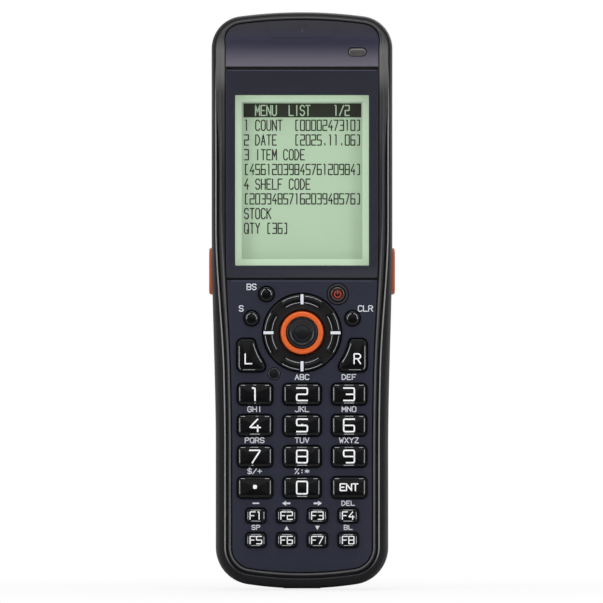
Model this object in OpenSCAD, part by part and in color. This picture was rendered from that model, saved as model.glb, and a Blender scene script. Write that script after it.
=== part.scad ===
// Portable barcode data terminal: an upright handheld with a display, a keypad, side triggers,
// a scanning window in its top end and a battery under a cover in its back.
// X runs across the body, Z up its length from the foot, and Y from the front to the back.
// Depths named *_d are measured back from the plane of the keypad, in millimetres.

/* [Body] */
// Length of the body, foot to top
body_h = 167; // [162:0.5:176]
// Width of the grip
grip_w = 50; // [48:0.2:54]
// Width across the display
head_w = 52.4; // [51:0.2:56]
// Depth of the grip
grip_d = 24.5; // [23.5:0.1:27]
// Depth of the finger hollow under the head
hollow_d = 22.6; // [21.5:0.1:24]
// Depth of the head
head_d = 29.7; // [28.5:0.1:32]
// Wall of the rear case
wall = 1.9; // [1.4:0.1:2.2]
// Radius of the foot's long curve
foot_arc_r = 104; // [90:1:130]
// Radius of the foot's corners
foot_corner_r = 10.8; // [9:0.1:12]
// Radius of the top's long curve
top_arc_r = 135; // [115:1:160]
// Radius of the top's corners
top_corner_r = 9.5; // [8:0.1:11]
// How far the top panel leans back at its upper edge
top_lean = 4.6; // [3.5:0.1:5.5]
// Height of the bevel under the back of the foot
bevel_h = 17; // [15:0.1:17.2]
// Depth of that bevel
bevel_d = 4.5; // [3:0.1:5]
// Width of the back's rounded edges
back_round = 8.4; // [6.5:0.1:9.5]

/* [Front frame] */
// Inset of the rear case's bright edge beside the keypad
ridge_grip = 2.4; // [2:0.1:2.8]
// Inset of the same edge beside the display
ridge_head = 0.95; // [0.8:0.05:1.3]
// Width of that edge's flat rim
rim_w = 0.55; // [0.4:0.05:0.7]
// Groove between the rear case and the front case
groove_w = 0.55; // [0.35:0.05:0.6]
// Inset of the panels beside the keypad
panel_grip = 4.8; // [4.7:0.1:5.4]
// Inset of the panels beside the display
panel_head = 4.1; // [4:0.1:4.6]
// Inset of the top panel at the top end
panel_top = 2.35; // [2.3:0.05:2.8]
// Gap round each panel
panel_gap = 0.3; // [0.2:0.05:0.4]
// Thickness of the three front panels
panel_t = 1.5; // [1.2:0.1:1.6]
// Thickness of the front case's deck
deck_t = 1.6; // [1.4:0.1:2]

/* [Display] */
// From the cursor up to the top edge of the keypad panel
pad_head = 15.28; // [15:0.02:15.6]
// Height of the top panel
top_panel_h = 15.9; // [15:0.1:17]
// From the head's side to the picture area
view_side = 6.85; // [6.6:0.05:9]
// From the picture area up to the window's top edge
view_down = 7.4; // [6.8:0.1:10]
// From the window's lower edge up to the picture area
view_up = 3.6; // [3.4:0.1:4.4]
// Thickness of the liquid crystal cell
lcd_t = 1.8; // [1.4:0.1:2]
// Thickness of the backlight
backlight_t = 2.8; // [2.2:0.1:2.9]

/* [Keys] */
// Height of the keys above the panel
key_rise = 1.2; // [0.9:0.1:1.5]
// Travel of a key
key_travel = 0.8; // [0.5:0.1:0.9]
// Gap round a key
key_gap = 0.32; // [0.25:0.01:0.4]
// Distance between number key columns
pad_dx = 13.6; // [13.2:0.1:14]
// Distance between number key rows
pad_dz = 9; // [8.8:0.1:9.2]
// Width of an outer number key's hole
pad_w = 10.5; // [9.5:0.1:10.8]
// Width of a middle number key's hole
pad_mid_w = 11.4; // [10:0.1:11.8]
// Height of a number key's hole
pad_h = 6.6; // [6:0.1:6.8]
// Height of the lower function keys above the foot
fn_z = 14.1; // [13.9:0.1:14.4]
// From the upper function keys to the lowest number keys
pad_step = 8.1; // [7.9:0.1:8.3]
// From the top number keys up to the cursor
cursor_step = 17.8; // [17.5:0.1:18]
// Distance between function key columns
fn_dx = 8.9; // [8.6:0.1:9.3]
// Distance between function key rows
fn_dz = 7.07; // [6.8:0.01:7.3]
// Width of a function key's hole
fn_w = 6.1; // [5.4:0.1:6.3]
// Height of a function key's hole
fn_h = 4.6; // [4:0.1:4.8]
// Radius of the cursor ring's hole
cursor_r = 11.5; // [11:0.1:11.6]
// Inner radius of the cursor ring
cursor_in_r = 6.65; // [6.55:0.05:7.2]
// Radius of the centre key's coloured ring
centre_r = 6.2; // [5.6:0.05:6.25]
// Radius of the centre key's cap
centre_cap_r = 4.45; // [4:0.05:4.8]
// Height of the centre key above the panel
centre_rise = 1.6; // [1.5:0.1:2]
// Tilt of the cursor ring
cursor_tilt = 2.5; // [1.5:0.1:2.5]
// Radius of the small round keys' holes
round_r = 2.35; // [2:0.05:2.4]
// Radius of the collar round the power key
collar_r = 2.95; // [2.8:0.05:3]
// Distance of the small round keys from the middle of the cursor
round_reach = 15.2; // [15:0.1:15.6]
// Width of the two keys under the cursor's sides
side_key_w = 8.7; // [8:0.1:8.9]
// Height of the two keys under the cursor's sides
side_key_h = 10; // [9:0.1:10.2]

/* [Triggers] */
// Length of a side trigger
trigger_l = 13.6; // [11:0.1:14]
// Width of a side trigger, front to back
trigger_w = 7; // [5.5:0.1:7.4]
// How far a trigger stands out of the side
trigger_out = 0.9; // [0.6:0.1:1.2]
// Travel of a trigger
trigger_travel = 0.6; // [0.4:0.1:0.7]

/* [Back] */
// Width of the battery cover
cover_w = 39; // [37:0.2:40]
// Top edge of the battery cover above the foot
cover_top = 84.5; // [83.5:0.1:85]
// Foot edge of the battery cover above the foot
cover_foot = 18.6; // [18.2:0.1:19.5]
// Thickness of the battery cover
cover_t = 1.6; // [1.3:0.1:1.7]
// Travel of the cover's lock
lock_travel = 2.4; // [1.8:0.1:2.6]
// Width of the scanning window
scan_w = 30; // [26:0.2:31]
// Height of the scanning window along the slope
scan_h = 12; // [10:0.1:12.4]
// Thickness of the scanning window
scan_t = 1.2; // [1:0.1:1.4]
// Width of the battery pack
battery_w = 35; // [32:0.1:36]
// Thickness of the battery pack
battery_t = 9.6; // [8.5:0.1:9.8]
// Radius of the strap's eye
strap_r = 1.6; // [1.2:0.1:1.7]
// Width of the strap anchor
anchor_w = 10.7; // [9:0.1:12]

/* [Hidden] */
fit = 0.2;                 // gap between fixed pieces
front_y = (centre_rise - head_d) / 2;
half_n = 3;                // steps in each long end curve
corner_n = 5;              // steps in each corner
side_n = 18;               // steps up each side
rim_d = 0.2;
front_round = 7;           // depth of the rounded front edges
top_front_round = 3.6;
foot_front_round = 4.5;
shoulder_z0 = body_h - 127; // the body widens from here
shoulder_z1 = body_h - 63;
inset_z0 = body_h - 105;   // the front's insets narrow from here
ridge_z1 = body_h - 61;
panel_z1 = body_h - 67;
groove_z0 = body_h - 42;   // the groove closes from here
groove_z1 = body_h - 22;
groove_end_w = 0.15;
mouth_z1 = body_h - 16;
mouth_end_w = 0.3;         // the rim's width taken off at the top
panel_top_z0 = body_h - 10.5;
panel_top_z1 = body_h - 1.5;
finger_z0 = body_h - 79;   // the finger hollow, from the grip up to the head
finger_z1 = body_h - 66;
finger_z2 = body_h - 39;
foot_round = 2.2;          // width of the back's rounded edges at the foot
top_round = 3;             // and at the top
mouth_end_d = 5.8;         // depth of the rear case's mouth
hollow_start_d = 6.6;
lean_z = body_h - top_panel_h;
slope_h = 13.2;
slope_z = body_h - slope_h; // where the scanner slope starts
slope_end_d = 13.4;        // depth of the top end
slope_deg = atan2(head_d - slope_end_d, body_h - slope_z);
deck_d = panel_t + 0.1;
deck_back_d = deck_d + deck_t;
window_top = lean_z - 0.85;
number_z = fn_z + fn_dz + pad_step;
cursor_z = number_z + 3 * pad_dz + cursor_step;
pad_top = cursor_z + pad_head;
window_foot = pad_top + 0.6;
view_w = head_w - 2 * view_side;
view_z = window_foot + view_up;
view_h = window_top - view_down - view_z;
flange_d = deck_back_d + fit;
flange_t = 0.8;
key_lip = 0.5;             // how far a key's flange reaches past its hole
dome_d = flange_d + flange_t + key_travel + fit;
mat_d = dome_d + 0.7;
mat_t = 1.2;
pad_board_d = mat_d + mat_t + fit;
board_t = 1;
frame_lip_t = 0.8;
lcd_d = flange_d + frame_lip_t + fit;
backlight_d = lcd_d + lcd_t + fit;
frame_back_d = flange_d + 6.2;
board_d = frame_back_d + fit;
tray_d = board_d + board_t + fit;
battery_d = tray_d + 1 + fit;

// ---- outline and surfaces ----

function smooth(t) = let (c = max(0, min(1, t))) c * c * (3 - 2 * c);
function blend(a, b, z0, z1, z) = a + (b - a) * smooth((z - z0) / (z1 - z0));

// Half of the silhouette, from the middle of the foot up the right side to the middle of the top.
foot_c = [
    grip_w / 2 - foot_corner_r,
    foot_arc_r - sqrt(pow(foot_arc_r - foot_corner_r, 2) - pow(grip_w / 2 - foot_corner_r, 2))
];
top_c = [
    head_w / 2 - top_corner_r,
    body_h - top_arc_r + sqrt(pow(top_arc_r - top_corner_r, 2) - pow(head_w / 2 - top_corner_r, 2))
];
foot_a = asin(foot_c.x / (foot_arc_r - foot_corner_r));
top_a = asin(top_c.x / (top_arc_r - top_corner_r));
function half_width(z) = blend(grip_w, head_w, shoulder_z0, shoulder_z1, z) / 2;
half_line = concat(
    [for (i = [0:half_n - 1]) let (a = foot_a * i / half_n)
        foot_arc_r * [sin(a), 1 - cos(a)]],
    [for (i = [0:corner_n]) let (a = foot_a - 90 + (90 - foot_a) * i / corner_n)
        foot_c + foot_corner_r * [cos(a), sin(a)]],
    [for (i = [1:side_n]) let (z = foot_c.y + (slope_z - foot_c.y) * i / side_n)
        [half_width(z), z]],
    [for (i = [0:corner_n]) let (a = (90 - top_a) * i / corner_n)
        top_c + top_corner_r * [cos(a), sin(a)]],
    [for (i = [half_n - 1:-1:0]) let (a = top_a * i / half_n)
        [0, body_h] + top_arc_r * [sin(a), cos(a) - 1]]
);
last = len(half_line) - 1;
ring_n = 2 * last;
function unit(v) = v / norm(v);
function outward(i) =
    i == 0 ? [0, -1] : i == last ? [0, 1] :
    let (t = unit(half_line[i + 1] - half_line[i - 1])) [t.y, -t.x];
outwards = [for (i = [0:last]) outward(i)];

// Inset lines of the front, as functions of the silhouette's height.
function ridge_in(z) = blend(ridge_grip, ridge_head, inset_z0, ridge_z1, z);
function groove(z) = blend(groove_w, groove_end_w, groove_z0, groove_z1, z);
function mouth_in(z) = ridge_in(z) + rim_w - blend(0, mouth_end_w, groove_z0, mouth_z1, z);
function rail_in(z) = mouth_in(z) + groove(z);
function panel_in(z) =
    blend(panel_grip, panel_head, inset_z0, panel_z1, z)
    + blend(0, panel_top - panel_head, panel_top_z0, panel_top_z1, z);

// Depth of the front surface, of the back surface, and width of the back's rounded edge.
function lean(z) =
    let (s = max(0, z - lean_z), h = body_h - lean_z) top_lean * (0.45 * s + 0.55 * s * s / h) / h;
function back_d(z) =
    z < bevel_h ? grip_d - bevel_d * pow(min(1, 1 - z / bevel_h), 1.2) :
    z < finger_z1 ? blend(grip_d, hollow_d, finger_z0, finger_z1, z) :
    z < slope_z ? blend(hollow_d, head_d, finger_z1, finger_z2, z) :
    head_d - (z - slope_z) * tan(slope_deg);
function edge_round(z) =
    blend(foot_round, back_round, 0, bevel_h, z)
    - blend(0, back_round - top_round, body_h - 34, body_h - 6, z);
function edge_depth(z) = 0.85 * edge_round(z);
function front_edge(z) =
    blend(foot_front_round, front_round, 0, 14, z)
    - blend(0, front_round - top_front_round, body_h - 24, body_h - 2, z);

// A silhouette point moved inwards, on the right for i up to last and mirrored on the left past it.
function at(i, inset) =
    let (j = i <= last ? i : ring_n - i, p = half_line[j] - outwards[j] * inset)
    [i <= last ? p.x : -p.x, p.y];
function height(i) = half_line[i <= last ? i : ring_n - i].y;
function ring_point(i, inset, depth) = let (p = at(i, inset)) [p.x, front_y + depth, p.y];

// Where the ring's points meet on the middle line: the ends are drawn out so that none coincide.
function spine_z(p) =
    p.y + 0.25 * abs(p.x) * (1 - smooth((p.y - 3) / 9) - smooth((p.y - body_h + 12) / 8));

// A closed solid from rings of ring_n points, each end closed to the middle line.
module ring_solid(rings, front_line, back_line) {
    points = concat(front_line, [for (r = rings) each r], back_line);
    first = last + 1;
    back = first + len(rings) * ring_n;
    function mid(j) = let (k = j % ring_n) k <= last ? k : ring_n - k;
    faces = concat(
        [for (j = [0:ring_n - 1]) let (a = first + j, b = first + (j + 1) % ring_n)
            each [[a, mid(j + 1), b], [a, mid(j), mid(j + 1)]]],
        [for (k = [0:len(rings) - 2], j = [0:ring_n - 1])
            let (a = first + k * ring_n, b = a + ring_n, n = (j + 1) % ring_n)
            each [[a + j, b + n, b + j], [a + j, a + n, b + n]]],
        [for (j = [0:ring_n - 1])
            let (a = back - ring_n, n = (j + 1) % ring_n)
            each [[a + j, back + mid(j + 1), back + mid(j)], [a + j, a + n, back + mid(j + 1)]]]
    );
    polyhedron(points, faces);
}

function back_line(inset, shrink) =
    [for (i = [0:last]) let (z = spine_z(at(i, inset(half_line[i].y))))
        [0, front_y + back_d(z) - shrink, z]];
function front_line(inset, depth) =
    [for (i = [0:last]) let (z = spine_z(at(i, inset(half_line[i].y))))
        [0, front_y + lean(z) + depth, z]];

// The whole outer body, shrunk by e on every side but the front.
module body_solid(e) {
    front = [for (a = [0, 30, 60, 90])
        [for (i = [0:ring_n - 1])
            let (z = height(i), in = e + ridge_in(z) * (1 - sin(a)))
            ring_point(i, in, lean(at(i, in).y) + rim_d + front_edge(z) * (1 - cos(a)))]];
    back = [for (b = [0, 22.5, 45, 67.5, 90])
        [for (i = [0:ring_n - 1])
            let (z = height(i), in = e + edge_round(z) * (1 - cos(b)))
            ring_point(i, in, back_d(at(i, in).y) - e - edge_depth(z) * (1 - sin(b)))]];
    rim = [for (i = [0:ring_n - 1])
        let (z = height(i), in = e + mouth_in(z))
        ring_point(i, in, lean(at(i, in).y) + rim_d)];
    ring_solid(
        concat([rim], front, back),
        front_line(function (z) e + mouth_in(z), rim_d),
        back_line(function (z) e + edge_round(z), e)
    );
}

// The hollow of the rear case, open at the front.
module case_hollow() {
    mouth = function (z) mouth_in(z);
    rings = concat(
        [for (d = [-3, mouth_end_d])
            [for (i = [0:ring_n - 1]) let (in = mouth(height(i)))
                ring_point(i, in, lean(at(i, in).y) + d)]],
        [[for (i = [0:ring_n - 1]) ring_point(i, wall, lean(at(i, wall).y) + hollow_start_d)]],
        [for (b = [0, 45, 90])
            [for (i = [0:ring_n - 1])
                let (z = height(i), in = wall + edge_round(z) * (1 - cos(b)))
                ring_point(i, in, back_d(at(i, in).y) - wall - edge_depth(z) * (1 - sin(b)))]]
    );
    ring_solid(rings, front_line(mouth, -3), back_line(function (z) wall + edge_round(z), wall));
}

// A flat piece between two depths, from a drawing of the front with X across and Z up.
module plate(d0, d1) {
    translate([0, front_y + d1, 0]) rotate([90, 0, 0]) linear_extrude(d1 - d0) children();
}

// A cut from in front of the panels back to a depth.
module cut_back(depth) {
    plate(-1, depth) children();
}

// A round pin along Y between two depths.
module pin(x, z, d0, d1, r, sides = 40) {
    translate([x, front_y + d1, z]) rotate([90, 0, 0]) cylinder(h = d1 - d0, r = r, $fn = sides);
}

module block(x0, x1, d0, d1, z0, z1) {
    translate([x0, front_y + d0, z0]) cube([x1 - x0, d1 - d0, z1 - z0]);
}

// A rounded rectangle about the origin.
function arc_points(c, r, a0, n) =
    [for (i = [0:n]) let (a = a0 + 90 * i / n) c + r * [cos(a), sin(a)]];
module rounded(w, h, r) {
    x = w / 2 - r;
    y = h / 2 - r;
    polygon(concat(
        arc_points([x, y], r, 0, 4), arc_points([-x, y], r, 90, 4),
        arc_points([-x, -y], r, 180, 4), arc_points([x, -y], r, 270, 4)
    ));
}

// The front's inset outline between two heights.
module front_outline(inset, z0, z1) {
    intersection() {
        polygon([for (i = [0:ring_n - 1]) at(i, inset(height(i)))]);
        translate([-head_w, z0]) square([2 * head_w, z1 - z0]);
    }
}

// Turns what is drawn at the origin, with Z as its outward axis, onto the scanner slope.
slope_mid_d = (head_d + slope_end_d) / 2;
slope_mid_z = (slope_z + body_h) / 2;
module on_slope(depth) {
    translate([0, front_y + slope_mid_d, slope_mid_z])
        rotate([-(90 - slope_deg), 0, 0]) translate([0, 0, -depth]) children();
}

// A shape drawn with depth across and height up, run along X.
module side(x0, x1) {
    translate([x0, front_y, 0]) rotate([90, 0, 90]) linear_extrude(x1 - x0) children();
}

// A slab that follows the front's lean between two depths.
lean_steps = 6;
module lean_slab(d0, d1) {
    h = body_h - lean_z;
    line = concat([-2], [for (i = [0:lean_steps]) lean_z + h * i / lean_steps]);
    side(-head_w, head_w) polygon(concat(
        [for (z = line) [lean(z) + d0, z]],
        [for (i = [len(line) - 1:-1:0]) [lean(line[i]) + d1, line[i]]]
    ));
}

// Everything of the front's outline inside an inset, between two depths.
module front_slab(inset, d0, d1, z0 = -1, z1 = body_h + 1) {
    intersection() {
        plate(-2, 14) front_outline(inset, z0, z1);
        lean_slab(d0, d1);
    }
}

// ---- where things sit on the front ----

round_low = 16;            // angles of the small round keys about the cursor
round_high = 47.3;
s_at = [-round_reach * cos(round_low), cursor_z + round_reach * sin(round_low)];
bs_at = [-round_reach * cos(round_high), cursor_z + round_reach * sin(round_high)];
clear_at = [-s_at.x, s_at.y];
power_at = [-bs_at.x, bs_at.y];
side_arc_r = cursor_r + 2.1;
side_key_x = 19 - side_key_w / 2;
side_key_z = cursor_z - 1.5 - side_key_h / 2;
port_at = [-8.1, cursor_z - 11.9];
port_r = 1.66;
port_in_r = 1.35;
led_at = [16, lean_z + 4.2];
led_size = [5.1, 2.3];
function pad_at(n) =
    [(n % 3 - 1) * pad_dx, number_z + (3 - floor(n / 3)) * pad_dz];
function pad_size(n) = [n % 3 == 1 ? pad_mid_w : pad_w, pad_h];
function fn_at(n) = [(n % 4 - 1.5) * fn_dx, fn_z + (n < 4 ? fn_dz : 0)];

module pad_shape(n, grow) {
    translate(pad_at(n)) rounded(pad_size(n).x + 2 * grow, pad_size(n).y + 2 * grow, 1.5 + grow);
}
module fn_shape(n, grow) {
    translate(fn_at(n)) rounded(fn_w + 2 * grow, fn_h + 2 * grow, 1.1 + grow);
}
module round_shape(p, r, grow) {
    translate(p) circle(r = r + grow, $fn = 48);
}
module side_key_shape(s, grow) {
    difference() {
        translate([s * side_key_x, side_key_z])
            rounded(side_key_w + 2 * grow, side_key_h + 2 * grow, 1.8 + grow);
        translate([0, cursor_z]) circle(r = side_arc_r - grow, $fn = 96);
    }
}

// All the key holes, grown by an amount on every side.
module key_holes(grow) {
    for (n = [0:11]) pad_shape(n, grow);
    for (n = [0:7]) fn_shape(n, grow);
    for (p = [bs_at, s_at, clear_at, power_at]) round_shape(p, round_r, grow);
    for (s = [-1, 1]) side_key_shape(s, grow);
    round_shape([0, cursor_z], cursor_r, grow);
}

// ---- screws ----

boss_r = 2;
boss_end_d = 15;
screw_r = 0.95;
screw_head_r = 1.8;
screw_head_t = 1.2;
screw_seat = 3;            // seat of a screw head below the back
screw_tip_d = 7;
cross_d = 0.7;             // floor of the cross in a screw's head
cross_l = 2.2;
cross_w = 0.5;
post_w = 5.4;
screws = [[15, 8], [18, cover_top + 3.5], [19.5, lean_z - 0.6]];
module at_screws() {
    for (s = [-1, 1], p = screws) translate([s * p.x, 0, p.y]) {
        $back = back_d(p.y);
        children();
    }
}

// ---- the back ----

hinge_r = cover_t + 0.1;
hinge_d = grip_d - hinge_r;
hinge_z = cover_top - hinge_r;
pin_r = 0.8;
pin_l = 1.2;
cover_gap = 0.25;
ledge_d = grip_d - cover_t - fit;
tray_x = cover_w / 2 + 1.5;
cell_gap = 0.3;
cell_z0 = cover_foot + 2.4;
cell_z1 = hinge_z - hinge_r - 1.8;
contact_x = 5;             // the battery's contacts, up from the end of its bay
contact_z0 = 3;
contact_z1 = 7;
contact_gap = 0.4;
lock_w = 9;
tongue_t = 0.5;
tongue_d = ledge_d - fit - tongue_t;
tongue_z = cover_foot + 0.7;       // end of the tongue, drawn back
pull_z = tongue_z + 4.4;
pull_h = 7;
pull_sink = 0.1;           // face of the lock's pull below the cover's
pull_t = 0.55;
pull_play = 0.5;
stem_in = 2;               // the stem's side inside the tongue's
stem_gap = 0.3;
trigger_rise = 7.4;        // middle of a trigger above the cover's top edge
trigger_z = cover_top + trigger_rise;
trigger_d = 10.4;
trigger_lip = 1.1;
trigger_lip_t = 1.4;
trigger_gap = 0.3;         // between a trigger's flange and the wall
module across(d, z, x0, x1, r, sides = 48) {
    translate([x0, front_y + d, z]) rotate([0, 90, 0]) cylinder(h = x1 - x0, r = r, $fn = sides);
}

foot_pads = [[-11.2, 2], [-7.6, 2], [7.6, 2], [11.2, 2]];
foot_z0 = 9.2;
foot_z1 = 14.4;
foot_t = 1.2;
ir_w = 8.4;
// A piece let into the bevel, its back along the bevel.
module foot_inlay(x, w, gap, depth) {
    side(x - w / 2 - gap, x + w / 2 + gap) polygon([
        [back_d(foot_z0) - foot_t - gap, foot_z0 - gap],
        [back_d(foot_z0) + depth, foot_z0 - gap],
        [back_d(foot_z1) + depth, foot_z1 + gap],
        [back_d(foot_z1) - foot_t - gap, foot_z1 + gap]
    ]);
}

anchor_h = 6.5;
anchor_front_d = foot_front_round + 0.2;
eye_d = 16.3;
eye_z = 3.3;
eye_reach = 3.4;           // width of the hollow at each end of the eye
grille_down = 31;
grille_z = body_h - grille_down;
speaker_r = 7;
speaker_t = 3.5;
slit_l = 8;
slit_h = 0.8;
slit_dz = 1.8;
case_sides = 16;           // sides of the round cuts in the rear case

module rear_case() {
    slot = anchor_w / 2 + 0.15;
    color([0.17, 0.17, 0.175]) difference() {
        union() {
            difference() {
                body_solid(0);
                case_hollow();
            }
            block(-tray_x, tray_x, tray_d, ledge_d + fit, cell_z0 - 1.6, cell_z1 + 1.3);
            block(-tray_x, tray_x, hinge_d - hinge_r - 1.5, ledge_d + fit, cell_z1, cover_top + 1.2);
            side(-slot - eye_reach - 1.4, slot + eye_reach + 1.4) polygon(concat(
                [[3.6, anchor_h + 1.5], [3.6, 0.8], [back_d(0) - 1.6, 0.8]],
                [for (z = [3, anchor_h + 1.5]) [back_d(z) - 1.2, z]]
            ));
            at_screws() block(-post_w / 2, post_w / 2, boss_end_d + fit, $back - 1.2,
                -post_w / 2, post_w / 2);
            on_slope(3.4) linear_extrude(2.8) square([scan_w + 4, scan_h + 3.6], center = true);
        }
        block(-battery_w / 2 - cell_gap, battery_w / 2 + cell_gap, tray_d + 1, grip_d + 2, cell_z0, cell_z1);
        block(-contact_x - contact_gap, contact_x + contact_gap, tray_d - 1, tray_d + 2,
            cell_z0 + contact_z0 - contact_gap, cell_z0 + contact_z1 + contact_gap);
        block(-cover_w / 2 - cover_gap, cover_w / 2 + cover_gap, ledge_d, grip_d + 2,
            cover_foot - cover_gap, hinge_z);
        across(hinge_d, hinge_z, -cover_w / 2 - cover_gap, cover_w / 2 + cover_gap,
            hinge_r + cover_gap, case_sides);
        block(-cover_w / 2 - cover_gap, cover_w / 2 + cover_gap, hinge_d, grip_d + 2,
            hinge_z - 1, cover_top + cover_gap);
        across(hinge_d, hinge_z, -cover_w / 2 - pin_l - 0.3, cover_w / 2 + pin_l + 0.3,
            pin_r + 0.25, case_sides);
        block(-lock_w / 2 - 0.3, lock_w / 2 + 0.3, tongue_d - 0.25, tongue_d + tongue_t + 0.2,
            tongue_z - lock_travel - 0.4, cell_z0 + 1);
        at_screws() {
            pin(0, 0, boss_end_d - 1, $back - screw_seat + 0.5, screw_r + 0.25, case_sides);
            pin(0, 0, $back - screw_seat, $back + 1, screw_head_r + 0.25, case_sides);
        }
        block(-slot, slot, anchor_front_d - 0.2, grip_d + 2, -2, anchor_h + 0.2);
        block(-slot - eye_reach, slot + eye_reach, eye_d - 3.6, grip_d + 4, -2, eye_z + 2.4);
        for (s = [-1, 1]) translate([s * head_w / 2, front_y + trigger_d, trigger_z]) rotate([0, 90, 0])
            linear_extrude(8, center = true) rounded(trigger_l + 0.5, trigger_w + 0.5, trigger_w / 2);
        on_slope(scan_t + 0.2) linear_extrude(6)
            square([scan_w + 0.3, scan_h + 0.3], center = true);
        on_slope(6) linear_extrude(8) square([scan_w - 2.4, scan_h - 2.4], center = true);
        for (i = [-2:2])
            block(-slit_l / 2, slit_l / 2, head_d - 6, head_d + 2, grille_z + slit_dz * i - slit_h / 2,
                grille_z + slit_dz * i + slit_h / 2);
        for (p = foot_pads) foot_inlay(p.x, p.y, 0.15, 2);
        foot_inlay(0, ir_w, 0.15, 2);
    }
}

view_gap = 0.3;            // the front case's opening round the picture area
seal_d0 = 1.3;
seal_d1 = 2.4;
seal_in = 0.85;
seal_gap = 0.05;           // left round the seal inside the rear case's mouth
seal_play = 0.15;
led_lip = 0.4;             // the front case's edge under the light's lens
led_gap = 0.15;
module front_case() {
    color([0.2, 0.2, 0.205]) difference() {
        union() {
            front_slab(function (z) rail_in(z), 0, deck_back_d);
            for (s = [-1, 1], p = screws)
                pin(s * p.x, p.y, deck_back_d - 0.5, boss_end_d, boss_r);
        }
        front_slab(function (z) panel_in(z) - panel_gap, -1, deck_d);
        difference() {
            lean_slab(seal_d0, seal_d1);
            plate(-2, 14) front_outline(function (z) rail_in(z) + seal_in, -1, body_h + 1);
        }
        cut_back(4) key_holes(0);
        cut_back(4) translate([0, view_z + view_h / 2]) 
            square([view_w + 2 * view_gap, view_h + 2 * view_gap], center = true);
        cut_back(9) translate(led_at) rounded(
            led_size.x - 2 * led_lip, led_size.y - 2 * led_lip, led_size.y / 2 - led_lip - 0.05);
        for (s = [-1, 1], p = screws) pin(s * p.x, p.y, screw_tip_d - 1, boss_end_d + 1, screw_r + 0.15);
    }
}

module case_seal() {
    color([0.12, 0.12, 0.12]) difference() {
        front_slab(function (z) mouth_in(z) + seal_gap, seal_d0 + seal_play, seal_d1 - seal_play);
        plate(-2, 14) front_outline(function (z) rail_in(z) + seal_in - seal_play, -1, body_h + 1);
    }
}

module keypad_panel() {
    color([0.19, 0.196, 0.255]) difference() {
        plate(0, panel_t) front_outline(function (z) panel_in(z), -1, pad_top);
        cut_back(4) key_holes(0);
        cut_back(4) round_shape(power_at, collar_r, 0.15);
        cut_back(4) round_shape(port_at, port_r, 0.15);
    }
}

module display_window() {
    color([0.2, 0.2, 0.24])
        plate(0, panel_t) front_outline(function (z) panel_in(z), window_foot, window_top);
}

module top_panel() {
    color([0.24, 0.235, 0.29]) difference() {
        front_slab(function (z) panel_in(z), 0, panel_t, lean_z);
        cut_back(9) translate(led_at) rounded(
            led_size.x + 2 * led_gap, led_size.y + 2 * led_gap, led_size.y / 2 + led_gap);
    }
}

module led_lens() {
    color([0.36, 0.35, 0.35]) intersection() {
        cut_back(9) translate(led_at) rounded(led_size.x, led_size.y, led_size.y / 2);
        lean_slab(0.1, panel_t - 0.05);
    }
}

ring_sink = 0.05;          // a ring's back short of the panel's
collar_rise = 0.35;
port_rise = 0.1;
port_floor_d = 0.3;
module panel_rings() {
    color([0.42, 0.42, 0.44]) {
        difference() {
            pin(power_at.x, power_at.y, -collar_rise, panel_t - ring_sink, collar_r);
            pin(power_at.x, power_at.y, -1, panel_t + 1, round_r);
        }
        difference() {
            pin(port_at.x, port_at.y, -port_rise, panel_t - ring_sink, port_r);
            pin(port_at.x, port_at.y, -1, port_floor_d, port_in_r);
        }
    }
}

// ---- display ----

frame_side = 2.05;         // how far the frame reaches past the picture area
frame_low = 3;
frame_high = 3.7;
frame_wall = 0.7;
frame_x = view_w / 2 + frame_side;
frame_z0 = view_z - frame_low;
frame_z1 = view_z + view_h + frame_high;
cell_x = frame_x - frame_wall;
cell_low = frame_z0 + frame_wall;
cell_high = frame_z1 - frame_wall;
module lcd_frame() {
    color([0.3, 0.3, 0.3]) difference() {
        block(-frame_x, frame_x, flange_d, frame_back_d, frame_z0, frame_z1);
        block(-cell_x, cell_x, flange_d + frame_lip_t, frame_back_d + 1, cell_low, cell_high);
        plate(0, 9) translate([0, view_z + view_h / 2]) square([view_w, view_h], center = true);
    }
}

module lcd_sheet(d, t) {
    block(-cell_x + fit, cell_x - fit, d, d + t, cell_low + fit, cell_high - fit);
}

module lcd_panel() {
    color([0.67, 0.77, 0.66]) lcd_sheet(lcd_d, lcd_t);
}

module backlight() {
    color([0.9, 0.9, 0.86]) lcd_sheet(backlight_d, backlight_t);
}

// ---- under the keys ----

mat_edge = 0.8;            // how far the mat reaches past the outer keys
mat_neck_x = 15;
mat_x = pad_dx + pad_w / 2 + mat_edge;
mat_z0 = fn_z - fn_h / 2 - mat_edge;
mat_z1 = cursor_z + round_reach * sin(round_high) + collar_r + 0.3;
mat_neck_z = cover_top - 0.4;
module mat_shape(grow) {
    translate([-mat_x - grow, mat_z0 - grow])
        square([2 * (mat_x + grow), mat_neck_z - mat_z0 + 2 * grow]);
    translate([-mat_neck_x - grow, mat_neck_z - 5])
        square([2 * (mat_neck_x + grow), mat_z1 + 5 - mat_neck_z + grow]);
}

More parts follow.
